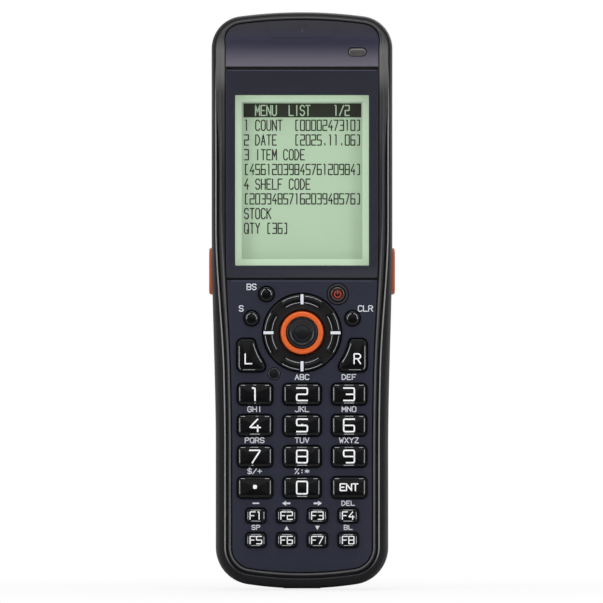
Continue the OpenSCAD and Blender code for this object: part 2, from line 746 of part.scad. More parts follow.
tilt_reach = sin(cursor_tilt);
ring_lip_r = cursor_r + key_lip;
ring_flange_d = deck_back_d + fit + ring_lip_r * tilt_reach;
ring_flange_t = 0.7;
cushion_r = 10;
cushion_in_r = 7.6;
cushion_d = ring_flange_d + ring_flange_t + cushion_r * tilt_reach + 0.15;
cushion_t = 0.5;
centre_flange_r = 7.1;
centre_flange_d = ring_flange_d + ring_flange_t + centre_flange_r * tilt_reach + 0.2;
centre_flange_t = 0.5;
pad_dome_r = 2.2;
fn_dome_r = 1.6;
round_dome_r = 1.4;
module keymat() {
    well_d = cushion_d + cushion_t + cushion_r * tilt_reach + 0.15;
    color([0.75, 0.75, 0.75]) difference() {
        union() {
            plate(mat_d, mat_d + mat_t) mat_shape(0);
            for (n = [0:11]) pin(pad_at(n).x, pad_at(n).y, dome_d, mat_d + 0.1, pad_dome_r);
            for (n = [0:7]) pin(fn_at(n).x, fn_at(n).y, dome_d, mat_d + 0.1, fn_dome_r);
            for (p = [bs_at, s_at, clear_at, power_at]) pin(p.x, p.y, dome_d, mat_d + 0.1, round_dome_r);
            for (s = [-1, 1]) pin(s * (side_key_x + 1), side_key_z - 1, dome_d, mat_d + 0.1, pad_dome_r);
        }
        pin(0, cursor_z, mat_d - 1, well_d, cushion_r + 0.6);
        pin(0, cursor_z, mat_d - 1, centre_flange_d + centre_flange_t + key_travel + fit,
            centre_flange_r + 0.3);
    }
}

module keypad_board() {
    color([0.1, 0.35, 0.2]) plate(pad_board_d, pad_board_d + board_t) mat_shape(0.2);
}

// ---- keys ----

// A key: a cap that stands out of its hole and a wider foot that keeps it in.
cap_top_t = 0.45;
cap_taper = 0.3;
module key_solid(rise) {
    plate(-rise, -rise + cap_top_t) { $grow = -key_gap - cap_taper; children(); }
    plate(-rise + cap_top_t, flange_d) { $grow = -key_gap; children(); }
    plate(flange_d, flange_d + flange_t) { $grow = key_lip; children(); }
}

module pad_key(n) {
    color([0.11, 0.11, 0.13]) key_solid(key_rise) pad_shape(n, $grow);
}

module fn_key(n) {
    color([0.11, 0.11, 0.13]) key_solid(key_rise) fn_shape(n, $grow);
}

module round_key(p, rise, tint) {
    color(tint) key_solid(rise) round_shape(p, round_r, $grow);
}

module side_key(s) {
    color([0.11, 0.11, 0.13]) key_solid(key_rise) side_key_shape(s, $grow);
}

module tube(d0, d1, r0, r1) {
    difference() {
        pin(0, cursor_z, d0, d1, r1);
        pin(0, cursor_z, d0 - 1, d1 + 1, r0);
    }
}

pad_arc = 37;              // half of each raised pad's angle
pad_out_r = 10.9;
pad_in_r = 8.5;
pad_rise = 1;
ring_rise = 0.3;
module cursor_ring() {
    color([0.14, 0.14, 0.15]) {
        tube(-ring_rise, ring_flange_d, cursor_in_r, cursor_r - key_gap - 0.05);
        tube(ring_flange_d, ring_flange_d + ring_flange_t, cursor_in_r, ring_lip_r);
        for (a = [0:90:270]) plate(-pad_rise, -ring_rise) translate([0, cursor_z]) rotate(a) polygon(concat(
            [for (i = [0:8]) let (b = pad_arc * (i / 4 - 1)) pad_out_r * [cos(b), sin(b)]],
            [for (i = [8:-1:0]) let (b = pad_arc * (i / 4 - 1)) pad_in_r * [cos(b), sin(b)]]
        ));
    }
}

module cursor_cushion() {
    color([0.6, 0.6, 0.6]) tube(cushion_d, cushion_d + cushion_t, cushion_in_r, cushion_r);
}

cap_seat_d = 1.2;
cap_gap = 0.15;
dish_d = 0.35;             // depth of the cap's dish
dish_edge = 1.4;
module centre_ring() {
    color([0.91, 0.41, 0.14]) difference() {
        union() {
            pin(0, cursor_z, 0.3 - centre_rise, centre_flange_d, centre_r);
            pin(0, cursor_z, centre_flange_d, centre_flange_d + centre_flange_t, centre_flange_r);
        }
        pin(0, cursor_z, -centre_rise - 1, cap_seat_d, centre_cap_r + cap_gap);
    }
}

module centre_cap() {
    color([0.1, 0.1, 0.11]) difference() {
        pin(0, cursor_z, -centre_rise, cap_seat_d - cap_gap, centre_cap_r);
        pin(0, cursor_z, -centre_rise - 1, -centre_rise + dish_d, centre_cap_r - dish_edge);
    }
}

module trigger(s) {
    top_x = half_width(trigger_z) + trigger_out;
    wall_x = half_width(trigger_z - trigger_l / 2) - wall - trigger_gap;
    color([0.87, 0.4, 0.15]) mirror([s < 0 ? 1 : 0, 0, 0])
        translate([0, front_y + trigger_d, trigger_z]) rotate([0, 90, 0]) {
            translate([0, 0, wall_x - 0.5]) linear_extrude(top_x - wall_x)
                rounded(trigger_l, trigger_w, trigger_w / 2 - 0.25);
            translate([0, 0, top_x - 0.6]) linear_extrude(0.6)
                rounded(trigger_l - 0.9, trigger_w - 0.9, trigger_w / 2 - 0.7);
            translate([0, 0, wall_x - trigger_lip_t]) linear_extrude(trigger_lip_t)
                rounded(trigger_l + 2 * trigger_lip, trigger_w + 2 * trigger_lip, trigger_w / 2);
        }
}

// ---- electronics ----

board_x = frame_x;
board_z0 = mat_z0;
board_end = 7.6;           // from the main board's end up to the top panel
board_z1 = lean_z - board_end;
module main_board() {
    color([0.08, 0.3, 0.18]) difference() {
        block(-board_x + 1, board_x - 1, board_d, board_d + board_t, board_z0, board_z1);
        for (s = [-1, 1]) mirror([s < 0 ? 1 : 0, 0, 0])
            block(screws[1].x - boss_r - fit, board_x, board_d - 1, board_d + board_t + 1,
                screws[1].y - boss_r - fit, screws[1].y + boss_r + fit);
    }
}

chip_d = board_d + board_t + 0.15;
// Each chip: middle across, start above the cover, length, width, thickness.
chips = [[0, 20.5, 14, 14, 1.4], [13, 22.5, 10, 8, 1.1], [-13, 10, 10, 8, 2.2]];
// The two switches behind the triggers' flanges.
switch_gap = 0.25;
switch_w = 3;
switch_t = 2.6;
switch_low = 1.4;
switch_high = 3;
switch_x = half_width(trigger_z - trigger_l / 2) - wall - trigger_gap - trigger_lip_t
    - trigger_travel - switch_gap;
module board_chips() {
    color([0.13, 0.13, 0.14]) {
        for (c = chips) block(c.x - c[3] / 2, c.x + c[3] / 2, chip_d, chip_d + c[4],
            cover_top + c.y, cover_top + c.y + c[2]);
        for (s = [-1, 1]) mirror([s < 0 ? 1 : 0, 0, 0])
            block(switch_x - switch_w, switch_x, chip_d, chip_d + switch_t,
                trigger_z - switch_low, trigger_z + switch_high);
    }
}

engine_top = 4.4;
engine_l = 13.4;
engine_w = 22;
engine_t = 14.4;
mirror_in = engine_top + 4.6;
mirror_w = 9;
mirror_h = 7;
mirror_room = 1.2;         // left round the mirror for its swing
mirror_pin = 2.2;          // how far its pins reach past it
module scan_engine() {
    color([0.25, 0.25, 0.27]) difference() {
        on_slope(engine_top + engine_l) translate([-engine_w / 2, -engine_t / 2, 0])
            cube([engine_w, engine_t, engine_l]);
        on_slope(mirror_in + 2.4) translate([-mirror_w / 2 - mirror_room, -mirror_h / 2 - mirror_room, 0])
            cube([mirror_w + 2 * mirror_room, mirror_h + 2 * mirror_room, engine_l]);
        on_slope(mirror_in) rotate([90, 0, 0])
            cylinder(h = mirror_h + 2 * mirror_pin + 0.6, r = 0.8, center = true, $fn = 32);
    }
}

module scan_mirror() {
    color([0.8, 0.82, 0.85]) {
        on_slope(mirror_in + 0.45) translate([-mirror_w / 2, -mirror_h / 2, 0])
            cube([mirror_w, mirror_h, 0.9]);
        on_slope(mirror_in) rotate([90, 0, 0])
            cylinder(h = mirror_h + 2 * mirror_pin, r = 0.6, center = true, $fn = 32);
    }
}

module scan_window() {
    color([0.25, 0.05, 0.07]) on_slope(scan_t) translate([-scan_w / 2, -scan_h / 2, 0])
        cube([scan_w, scan_h, scan_t]);
}

module speaker() {
    color([0.2, 0.2, 0.2])
        pin(0, grille_z, head_d - wall - fit - speaker_t, head_d - wall - fit, speaker_r);
}

motor_r = 2.2;
motor_x = [-18, -9];
motor_down = 40;
module vibration_motor() {
    color([0.7, 0.7, 0.7])
        across(chip_d + motor_r, body_h - motor_down, motor_x[0], motor_x[1], motor_r);
}

module battery_pack() {
    color([0.2, 0.3, 0.55]) block(-battery_w / 2, battery_w / 2, battery_d, battery_d + battery_t,
        cell_z0 + cell_gap, cell_z1 - cell_gap);
}

module battery_contacts() {
    color([0.85, 0.7, 0.3])
        block(-contact_x, contact_x, chip_d, tray_d + 1, cell_z0 + contact_z0, cell_z0 + contact_z1);
}

module case_screws() {
    color([0.6, 0.6, 0.62]) at_screws() {
        seat = $back - screw_seat + 0.15;
        pin(0, 0, screw_tip_d, seat + 0.1, screw_r);
        difference() {
            pin(0, 0, seat, seat + screw_head_t, screw_head_r);
            for (a = [0, 90]) plate(seat + cross_d, seat + 2) rotate(a)
                square([cross_l, cross_w], center = true);
        }
    }
}

module ir_window() {
    color([0.15, 0.03, 0.05]) foot_inlay(0, ir_w, 0, 0);
}

module charge_contacts() {
    color([0.85, 0.75, 0.45]) for (p = foot_pads) foot_inlay(p.x, p.y, 0, 0);
}

module strap_anchor() {
    back = [for (z = [2.2, anchor_h]) [back_d(z) - 0.3, z]];
    color([0.15, 0.15, 0.15]) difference() {
        side(-anchor_w / 2, anchor_w / 2)
            polygon(concat([[anchor_front_d, anchor_h], [anchor_front_d, 0], [back_d(0) - 2.2, 0]], back));
        across(eye_d, eye_z, -anchor_w, anchor_w, strap_r);
    }
}

// ---- battery cover ----

// Depth of the back across the cover, following its rounded edges.
function cover_back(x) =
    let (r = edge_round(cover_foot), t = max(0, abs(x) - grip_w / 2 + r) / r)
    grip_d - edge_depth(cover_foot) * (1 - sqrt(1 - t * t));
pull_w = lock_w + 3;
pull_floor = 0.8;          // depth of the pull's pocket
stem_x = lock_w / 2 - stem_in;
module battery_cover() {
    edge = [for (i = [0:6]) cover_w / 2 - (cover_w / 2 - (grip_w / 2 - edge_round(cover_foot))) * i / 6];
    line = concat(
        [for (x = edge) [-x, cover_back(x)]],
        [for (i = [6:-1:0]) [edge[i], cover_back(edge[i])]]
    );
    low = grip_d - cover_t;
    color([0.16, 0.16, 0.165]) {
        difference() {
            translate([0, front_y, cover_foot]) linear_extrude(hinge_z - cover_foot)
                polygon(concat([[-cover_w / 2, low]], line, [[cover_w / 2, low]]));
            block(-pull_w / 2, pull_w / 2, grip_d - pull_floor, grip_d + 1,
                pull_z - lock_travel - pull_play, pull_z + pull_h + pull_play);
            block(-stem_x - stem_gap, stem_x + stem_gap, low - 1, grip_d + 1,
                pull_z - lock_travel + 1 - stem_gap, pull_z + pull_h - 1 + stem_gap);
        }
        across(hinge_d, hinge_z, -grip_w / 2 + edge_round(cover_foot),
            grip_w / 2 - edge_round(cover_foot), hinge_r);
        across(hinge_d, hinge_z, -cover_w / 2, cover_w / 2, cover_back(cover_w / 2) - hinge_d);
        across(hinge_d, hinge_z, -cover_w / 2 - pin_l, cover_w / 2 + pin_l, pin_r);
    }
}

module cover_lock() {
    color([0.5, 0.5, 0.52]) {
        block(-lock_w / 2, lock_w / 2, tongue_d, tongue_d + tongue_t, tongue_z, pull_z + pull_h - 1);
        block(-stem_x, stem_x, tongue_d + 0.1, grip_d - 0.5, pull_z + 1, pull_z + pull_h - 1);
        block(-lock_w / 2, lock_w / 2, grip_d - pull_sink - pull_t, grip_d - pull_sink,
            pull_z, pull_z + pull_h);
    }
}

rear_case();
front_case();
keypad_panel();
top_panel();
display_window();
lcd_frame();
lcd_panel();
backlight();
led_lens();
keymat();
keypad_board();
main_board();
board_chips();
scan_engine();
scan_mirror();
scan_window();
speaker();
vibration_motor();
battery_pack();
battery_contacts();
case_seal();
case_screws();
ir_window();
charge_contacts();
strap_anchor();
panel_rings();
battery_cover();
cover_lock();
trigger(-1);  // trigger_left
trigger(1);  // trigger_right
centre_ring();
centre_cap();
cursor_ring();
cursor_cushion();
round_key(power_at, 0.8, [0.6, 0.12, 0.08]);  // power_key
round_key(bs_at, 1, [0.11, 0.11, 0.13]);  // bs_key
round_key(s_at, 1, [0.11, 0.11, 0.13]);  // s_key
round_key(clear_at, 1, [0.11, 0.11, 0.13]);  // clear_key
side_key(-1);  // l_key
side_key(1);  // r_key
pad_key(0);  // key_1
pad_key(1);  // key_2
pad_key(2);  // key_3
pad_key(3);  // key_4
pad_key(4);  // key_5
pad_key(5);  // key_6
pad_key(6);  // key_7
pad_key(7);  // key_8
pad_key(8);  // key_9
pad_key(9);  // key_dot
pad_key(10);  // key_0
pad_key(11);  // key_enter
fn_key(0);  // key_f1
fn_key(1);  // key_f2
fn_key(2);  // key_f3
fn_key(3);  // key_f4
fn_key(4);  // key_f5
fn_key(5);  // key_f6
fn_key(6);  // key_f7
fn_key(7);  // key_f8
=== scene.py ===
import bpy
import bmesh
import math
import numpy as np
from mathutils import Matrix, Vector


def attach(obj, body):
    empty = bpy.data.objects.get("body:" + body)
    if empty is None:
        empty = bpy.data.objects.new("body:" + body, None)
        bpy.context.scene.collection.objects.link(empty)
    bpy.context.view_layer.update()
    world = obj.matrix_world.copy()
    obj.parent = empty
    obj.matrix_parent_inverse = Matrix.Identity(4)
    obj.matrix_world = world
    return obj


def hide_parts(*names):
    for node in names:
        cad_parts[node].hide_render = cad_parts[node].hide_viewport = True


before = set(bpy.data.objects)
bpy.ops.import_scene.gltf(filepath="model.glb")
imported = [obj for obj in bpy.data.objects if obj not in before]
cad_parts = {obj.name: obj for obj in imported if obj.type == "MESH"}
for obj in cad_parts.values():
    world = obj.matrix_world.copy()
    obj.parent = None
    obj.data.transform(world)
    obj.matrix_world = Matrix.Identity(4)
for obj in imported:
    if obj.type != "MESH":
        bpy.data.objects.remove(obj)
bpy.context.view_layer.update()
for name in ("Cube", "Camera", "Light"):
    if name in bpy.data.objects:
        bpy.data.objects.remove(bpy.data.objects[name])
print("frame loaded,", len(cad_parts), "nodes")

# the body's lines, in millimetres: x across, z up, depth back from the keypad plane
body = {"height": 167.0, "gripWidth": 50.0, "headWidth": 52.4, "frontY": -14.05, "wall": 1.9, "rim": 0.2,
    "footArc": 104.0, "footCorner": 10.8, "topArc": 135.0, "topCorner": 9.5, "leanFrom": 151.1, "leanDepth": 4.6,
    "gripDepth": 24.5, "hollowDepth": 22.6, "headDepth": 29.7, "bevelTop": 17, "bevelDepth": 4.5,
    "slopeFrom": 153.8, "slopeAngle": math.atan2(16.3, 13.2), "mouthStep": 0.55, "edgeShare": 0.85}
# a line's value low down, its value high up, and the two heights it changes between
changes = {"width": (body["gripWidth"], body["headWidth"], 40, 104),
    "hollow": (body["gripDepth"], body["hollowDepth"], 88, 101),
    "head": (body["hollowDepth"], body["headDepth"], 101, 128),
    "ridge": (2.4, 0.95, 62, 106), "mouth": (0, 0.3, 125, 151), "rail": (0.55, 0.15, 125, 145),
    "panel": (4.8, 4.1, 62, 100), "panelTop": (0, 1.75, 156.5, 165.5), "edge": (2.2, 8.4, 0, 17),
    "edgeTop": (0, 5.4, 133, 161), "front": (4.5, 7, 0, 14), "frontTop": (0, 3.4, 143, 165),
    "lip": (1, 0.4, 118, 150), "groove": (1, 0.25, 118, 150), "railBead": (0.66, 0.42, 92, 114)}


def smooth(t):
    t = np.clip(t, 0, 1)
    return t * t * (3 - 2 * t)


def blend(a, b, z0, z1, z):
    return a + (b - a) * smooth((z - z0) / (z1 - z0))


def along(line, z):
    return blend(*changes[line], z)


def halfWidth(z):
    return along("width", z) / 2


def lean(z):  # the front leans back over the top panel: part straight, part squared
    h = body["height"] - body["leanFrom"]
    s = np.maximum(0, z - body["leanFrom"])
    return body["leanDepth"] * (0.45 * s + 0.55 * s * s / h) / h


def backDepth(z):  # bevel at the foot, grip, finger hollow, head, then the scanner slope
    foot = body["gripDepth"] - body["bevelDepth"] * np.power(np.clip(1 - z / body["bevelTop"], 0, 1), 1.2)
    slope = body["headDepth"] - (z - body["slopeFrom"]) * math.tan(body["slopeAngle"])
    upper = np.where(z < body["slopeFrom"], along("head", z), slope)
    return np.where(z < body["bevelTop"], foot, np.where(z < changes["head"][2], along("hollow", z), upper))


def ridgeIn(z):
    return along("ridge", z)


def mouthIn(z):
    return ridgeIn(z) + body["mouthStep"] - along("mouth", z)


def railIn(z):
    return mouthIn(z) + along("rail", z)


def panelIn(z):
    return along("panel", z) - along("panelTop", z)


def edgeRound(z):
    return along("edge", z) - along("edgeTop", z)


def frontEdge(z):
    return along("front", z) - along("frontTop", z)


def arc(r, cx, cz, t):  # points at the angles t
    return np.stack([cx + r * np.cos(t), cz + r * np.sin(t)], 1)


def fullTurn(steps):
    return np.linspace(0, 2 * math.pi, steps, endpoint=False)


def silhouette(arcSteps=26, cornerSteps=18, sideSteps=120):
    # foot arc, corner, side, corner, top arc, then the same mirrored; with the outward normals
    height, footArc, footCorner, topArc, topCorner = (body[k] for k in ("height", "footArc", "footCorner",
            "topArc", "topCorner"))
    fx, tx = body["gripWidth"] / 2 - footCorner, body["headWidth"] / 2 - topCorner
    fz = footArc - math.sqrt((footArc - footCorner) ** 2 - fx ** 2)
    tz = height - topArc + math.sqrt((topArc - topCorner) ** 2 - tx ** 2)
    fa, ta = math.asin(fx / (footArc - footCorner)), math.asin(tx / (topArc - topCorner))
    a = np.linspace(0, fa, arcSteps, endpoint=False)
    b = np.linspace(fa - math.pi / 2, 0, cornerSteps, endpoint=False)
    z = np.linspace(fz, tz, sideSteps, endpoint=False)
    c = np.linspace(0, math.pi / 2 - ta, cornerSteps, endpoint=False)
    d = np.linspace(ta, 0, arcSteps + 1)
    w = (halfWidth(z + 0.05) - halfWidth(z - 0.05)) / 0.1
    side = np.stack([np.ones_like(w), -w], 1) / np.hypot(1, w)[:, None]
    line = np.concatenate([
            footArc * np.stack([np.sin(a), 1 - np.cos(a)], 1), arc(footCorner, fx, fz, b),
            np.stack([halfWidth(z), z], 1),
            arc(topCorner, tx, tz, c), np.array([0, height]) + topArc * np.stack([np.sin(d), np.cos(d) - 1], 1)])
    out = np.concatenate([np.stack([np.sin(a), -np.cos(a)], 1), arc(1, 0, 0, b), side, arc(1, 0, 0, c),
            np.stack([np.sin(d), np.cos(d)], 1)])
    flip = np.array([-1, 1])
    return np.concatenate([line, line[-2:0:-1] * flip]), np.concatenate([out, out[-2:0:-1] * flip])


ringLine, ringOut = silhouette()
ringZ = ringLine[:, 1]


def ringRow(inset, depth, leaning=True):  # the silhouette moved inwards, at a depth that follows the lean
    p = ringLine - ringOut * np.broadcast_to(inset, ringZ.shape)[:, None]
    y = body["frontY"] + depth + (lean(p[:, 1]) if leaning else 0)
    return np.stack([p[:, 0], np.broadcast_to(y, ringZ.shape), p[:, 1]], 1)


def spineZ(x, z):  # the back's cross lines run square to the spine, and follow the outline near both ends
    return z + 0.25 * np.abs(x) * (1 - smooth((z - 3) / 9) - smooth((z - body["height"] + 12) / 8))


# making meshes

def loft(rows, capStart=True, capEnd=True):  # a skin over closed rows of points, its ends closed flat
    rows = np.asarray(rows, float)
    count, n = rows.shape[:2]
    r, c = np.meshgrid(np.arange(count - 1), np.arange(n), indexing="ij")
    after = (c + 1) % n
    quads = np.stack([r * n + c, r * n + after, (r + 1) * n + after, (r + 1) * n + c], -1)
    faces = quads.reshape(-1, 4).tolist()
    if capStart:
        faces.append(list(range(n))[::-1])
    if capEnd:
        faces.append(list(range((count - 1) * n, count * n)))
    return rows.reshape(-1, 3), faces


def fanned(rows):  # the same, with the last row closed to its middle point
    rows = np.asarray(rows, float)
    v, f = loft(rows, True, False)
    n = rows.shape[1]
    last = (len(rows) - 1) * n
    v = np.concatenate([v, rows[-1].mean(0)[None]])
    return v, f + [[last + i, last + (i + 1) % n, len(v) - 1] for i in range(n)]


def flat(outline, depth):  # a drawing of the front, x across and z up, laid at a depth
    return np.insert(np.asarray(outline, float), 1, body["frontY"] + depth, axis=1)


def slab(outline, d0, d1):
    return loft([flat(outline, d0), flat(outline, d1)])


def stepped(line, rows):  # a line that takes an offset, laid at each row's depth
    return loft([flat(line(g), d) for g, d in rows])


def box(x0, x1, d0, d1, z0, z1):
    return slab([[x0, z0], [x1, z0], [x1, z1], [x0, z1]], d0, d1)


def sideRow(x, profile):  # a drawing of depth and height, laid at a distance across
    return np.insert(np.asarray(profile, float) + np.array([body["frontY"], 0]), 0, x, axis=1)


def sidePrism(x0, x1, profile):
    return loft([sideRow(x0, profile), sideRow(x1, profile)])


def slopeBox(w, h, z0, z1):  # a box on the scanner slope, z outwards from its face
    row = np.array([[-w, -h], [w, -h], [w, h], [-w, h]], float) / 2
    v, f = loft([np.insert(row, 2, z, axis=1) for z in (z0, z1)])
    a = math.pi / 2 - body["slopeAngle"]
    turn = np.array([[1, 0, 0], [0, math.cos(a), math.sin(a)], [0, -math.sin(a), math.cos(a)]])
    return v @ turn.T + np.array([0, body["frontY"] + 21.55, 160.4]), f


def turned(profile, cx, cz, steps=96):  # a profile of radius and depth, turned about an axis along y
    a, p = fullTurn(steps), np.asarray(profile, float)
    x, z = cx + p[:, :1] * np.cos(a), cz + p[:, :1] * np.sin(a)
    return np.stack([x, np.broadcast_to(body["frontY"] + p[:, 1:2], x.shape), z], -1)


def turnedRing(profile, cx, cz, steps=96):  # a closed profile, so the skin closes on itself
    rows = turned(profile, cx, cz, steps)
    return loft(np.concatenate([rows, rows[:1]]), False, False)


def peg(x, z, d0, d1, r, steps=40):
    return loft(turned([[r, d0], [r, d1]], x, z, steps))


def crossPeg(d, z, x0, x1, r, steps=40):
    return sidePrism(x0, x1, arc(r, d, z, fullTurn(steps)))


def rounded(w, h, r, cx=0.0, cz=0.0, steps=10):
    r = max(r, 0.02)
    a = np.linspace(0, math.pi / 2, steps)
    q = [arc(1, 0, 0, a + k * math.pi / 2) * r + np.array([sx * (w / 2 - r), sz * (h / 2 - r)])
        for k, sx, sz in ((0, 1, 1), (1, -1, 1), (2, -1, -1), (-1, 1, -1))]
    return np.concatenate(q) + np.array([cx, cz])


def pill(w, h, r, cx, cz, steps=10, ease=1):  # a rounded rectangle that takes an offset; ease 0 keeps its corners
    return lambda g: rounded(w + 2 * g, h + 2 * g, r + ease * g, cx, cz, steps)


def newObject(name, parts):
    bm = bmesh.new()
    for v, f in parts:
        made = [bm.verts.new(p) for p in (np.asarray(v, float) * 0.001).tolist()]
        for face in f:
            corners = [made[i] for i in face]
            if len(set(corners)) > 2:
                bm.faces.new(corners)
    bmesh.ops.remove_doubles(bm, verts=bm.verts, dist=2e-7)
    bmesh.ops.dissolve_degenerate(bm, dist=1e-8, edges=bm.edges)
    bmesh.ops.recalc_face_normals(bm, faces=bm.faces)
    mesh = bpy.data.meshes.new(name)
    bm.to_mesh(mesh)
    bm.free()
    made = bpy.data.objects.new(name, mesh)
    bpy.context.scene.collection.objects.link(made)
    return made


def carve(target, parts, operation="DIFFERENCE"):
    tool = newObject("tool", parts)
    cut = target.modifiers.new("cut", "BOOLEAN")
    cut.operation, cut.object, cut.solver, cut.use_self = operation, tool, "EXACT", True
    bpy.context.view_layer.update()
    mesh = bpy.data.meshes.new_from_object(target.evaluated_get(bpy.context.evaluated_depsgraph_get()))
    target.modifiers.clear()
    target.data = mesh
    bpy.data.objects.remove(tool)


def bend(target, steps=30):  # slices a flat mesh across and moves it back by the lean
    bm = bmesh.new()
    bm.from_mesh(target.data)
    for z in np.linspace(body["leanFrom"], body["height"] - 0.4, steps):
        bmesh.ops.bisect_plane(bm, geom=bm.verts[:] + bm.edges[:] + bm.faces[:], dist=1e-7,
            plane_co=(0, 0, z * 0.001), plane_no=(0, 0, 1))
    bm.to_mesh(target.data)
    bm.free()
    co = np.zeros(len(target.data.vertices) * 3, np.float32)
    target.data.vertices.foreach_get("co", co)
    co = co.reshape(-1, 3)
    co[:, 1] += lean(co[:, 2] * 1000) * 0.001
    target.data.vertices.foreach_set("co", co.ravel())


def finishPiece(made, rides, slotName, look=None, replaces=(), angle=32):  # looks as its slot says, or as look says
    made.data.materials.clear()
    made.data.materials.append(finish[look or slotName])
    made.data.shade_smooth()
    made.data.set_sharp_from_angle(angle=math.radians(angle))
    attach(made, rides)
    if replaces:
        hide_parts(*replaces)


def addPiece(name, parts, *rest, **more):
    finishPiece(newObject(name, parts), *rest, **more)


# finishes

def rgb(r, g, b):  # screen values 0 to 255 to linear light
    c = np.array([r, g, b]) / 255
    return [float(x) for x in np.where(c < 0.0405, c / 12.92, ((c + 0.055) / 1.055) ** 2.4)] + [1.0]


def makeGrainGroup():
    # fine moulded grain and slow mottling: the height is a fine noise, colour and roughness drift with a coarse one
    group = bpy.data.node_groups.new("mouldedGrain", "ShaderNodeTree")
    for side, sockets in (("INPUT", (("Colour", "Color"), ("Worn Colour", "Color"), ("Grain Scale", "Float"),
                ("Mottle Scale", "Float"), ("Mottle", "Float"), ("Roughness", "Float"),
                ("Roughness Drift", "Float"))),
            ("OUTPUT", (("Colour", "Color"), ("Roughness", "Float"), ("Height", "Float")))):
        for label, kind in sockets:
            group.interface.new_socket(name=label, in_out=side, socket_type="NodeSocket" + kind)
    nodes, link = group.nodes, group.links.new
    inside, outside, place, fine, slow, amount, mix, drift = (nodes.new(kind) for kind in (
            "NodeGroupInput", "NodeGroupOutput", "ShaderNodeTexCoord", "ShaderNodeTexNoise", "ShaderNodeTexNoise",
            "ShaderNodeMath", "ShaderNodeMix", "ShaderNodeMath"))
    fine.inputs["Detail"].default_value, slow.inputs["Detail"].default_value = 3, 5
    amount.operation, mix.data_type, drift.operation = "MULTIPLY", "RGBA", "MULTIPLY_ADD"
    for noise, scale in ((fine, "Grain Scale"), (slow, "Mottle Scale")):
        link(place.outputs["Object"], noise.inputs["Vector"])
        link(inside.outputs[scale], noise.inputs["Scale"])
    link(slow.outputs["Fac"], amount.inputs[0])
    link(inside.outputs["Mottle"], amount.inputs[1])
    link(amount.outputs[0], mix.inputs[0])
    link(inside.outputs["Colour"], mix.inputs[6])
    link(inside.outputs["Worn Colour"], mix.inputs[7])
    link(slow.outputs["Fac"], drift.inputs[0])
    link(inside.outputs["Roughness Drift"], drift.inputs[1])
    link(inside.outputs["Roughness"], drift.inputs[2])
    link(mix.outputs[2], outside.inputs["Colour"])
    link(drift.outputs[0], outside.inputs["Roughness"])
    link(fine.outputs["Fac"], outside.inputs["Height"])
    return group


mouldedGrain = makeGrainGroup()


def makeMoulded(name, colour, worn, rough, bump, drift=0.1, mottle=0.5, mottleScale=160.0, grain=2600.0, depth=0.05,
        specular=0.5, metallic=0.0, coat=0.0, coatRough=0.08, glow=None, bands=()):
    made = bpy.data.materials.new(name)
    made.use_nodes = True
    nodes, link = made.node_tree.nodes, made.node_tree.links.new
    shader = nodes["Principled BSDF"]
    group = nodes.new("ShaderNodeGroup")
    group.node_tree = mouldedGrain
    worn = worn or [min(255, c * 1.12 + 3) for c in colour]
    for socket, value in (("Colour", rgb(*colour)), ("Worn Colour", rgb(*worn)), ("Grain Scale", grain),
            ("Mottle Scale", mottleScale), ("Mottle", mottle), ("Roughness", rough - drift / 2),
            ("Roughness Drift", drift)):
        group.inputs[socket].default_value = value
    colourOut = group.outputs["Colour"]
    for band in bands:  # a colour that comes in from one height to another, or along the axis that it names
        spot, parts, fade, tint = (nodes.new("ShaderNode" + k) for k in (
                "TexCoord", "SeparateXYZ", "MapRange", "Mix"))
        fade.interpolation_type, tint.data_type = "SMOOTHSTEP", "RGBA"
        link(spot.outputs["Object"], parts.inputs[0])
        link(parts.outputs[(band + ("Z",))[5]], fade.inputs["Value"])
        fade.inputs["From Min"].default_value, fade.inputs["From Max"].default_value = band[3:5]
        link(fade.outputs[0], tint.inputs[0])
        link(colourOut, tint.inputs[6])
        tint.inputs[7].default_value = rgb(*band[:3])
        colourOut = tint.outputs[2]
    link(colourOut, shader.inputs["Base Color"])
    link(group.outputs["Roughness"], shader.inputs["Roughness"])
    relief = nodes.new("ShaderNodeBump")
    relief.inputs["Strength"].default_value = bump
    relief.inputs["Distance"].default_value = depth * 0.001
    link(group.outputs["Height"], relief.inputs["Height"])
    link(relief.outputs["Normal"], shader.inputs["Normal"])
    shader.inputs["Specular IOR Level"].default_value = specular
    shader.inputs["Metallic"].default_value = metallic
    shader.inputs["Coat Weight"].default_value = coat
    shader.inputs["Coat Roughness"].default_value = coatRough
    if glow:
        shader.inputs["Emission Color"].default_value = rgb(*glow[:3])
        shader.inputs["Emission Strength"].default_value = glow[3]
    return made


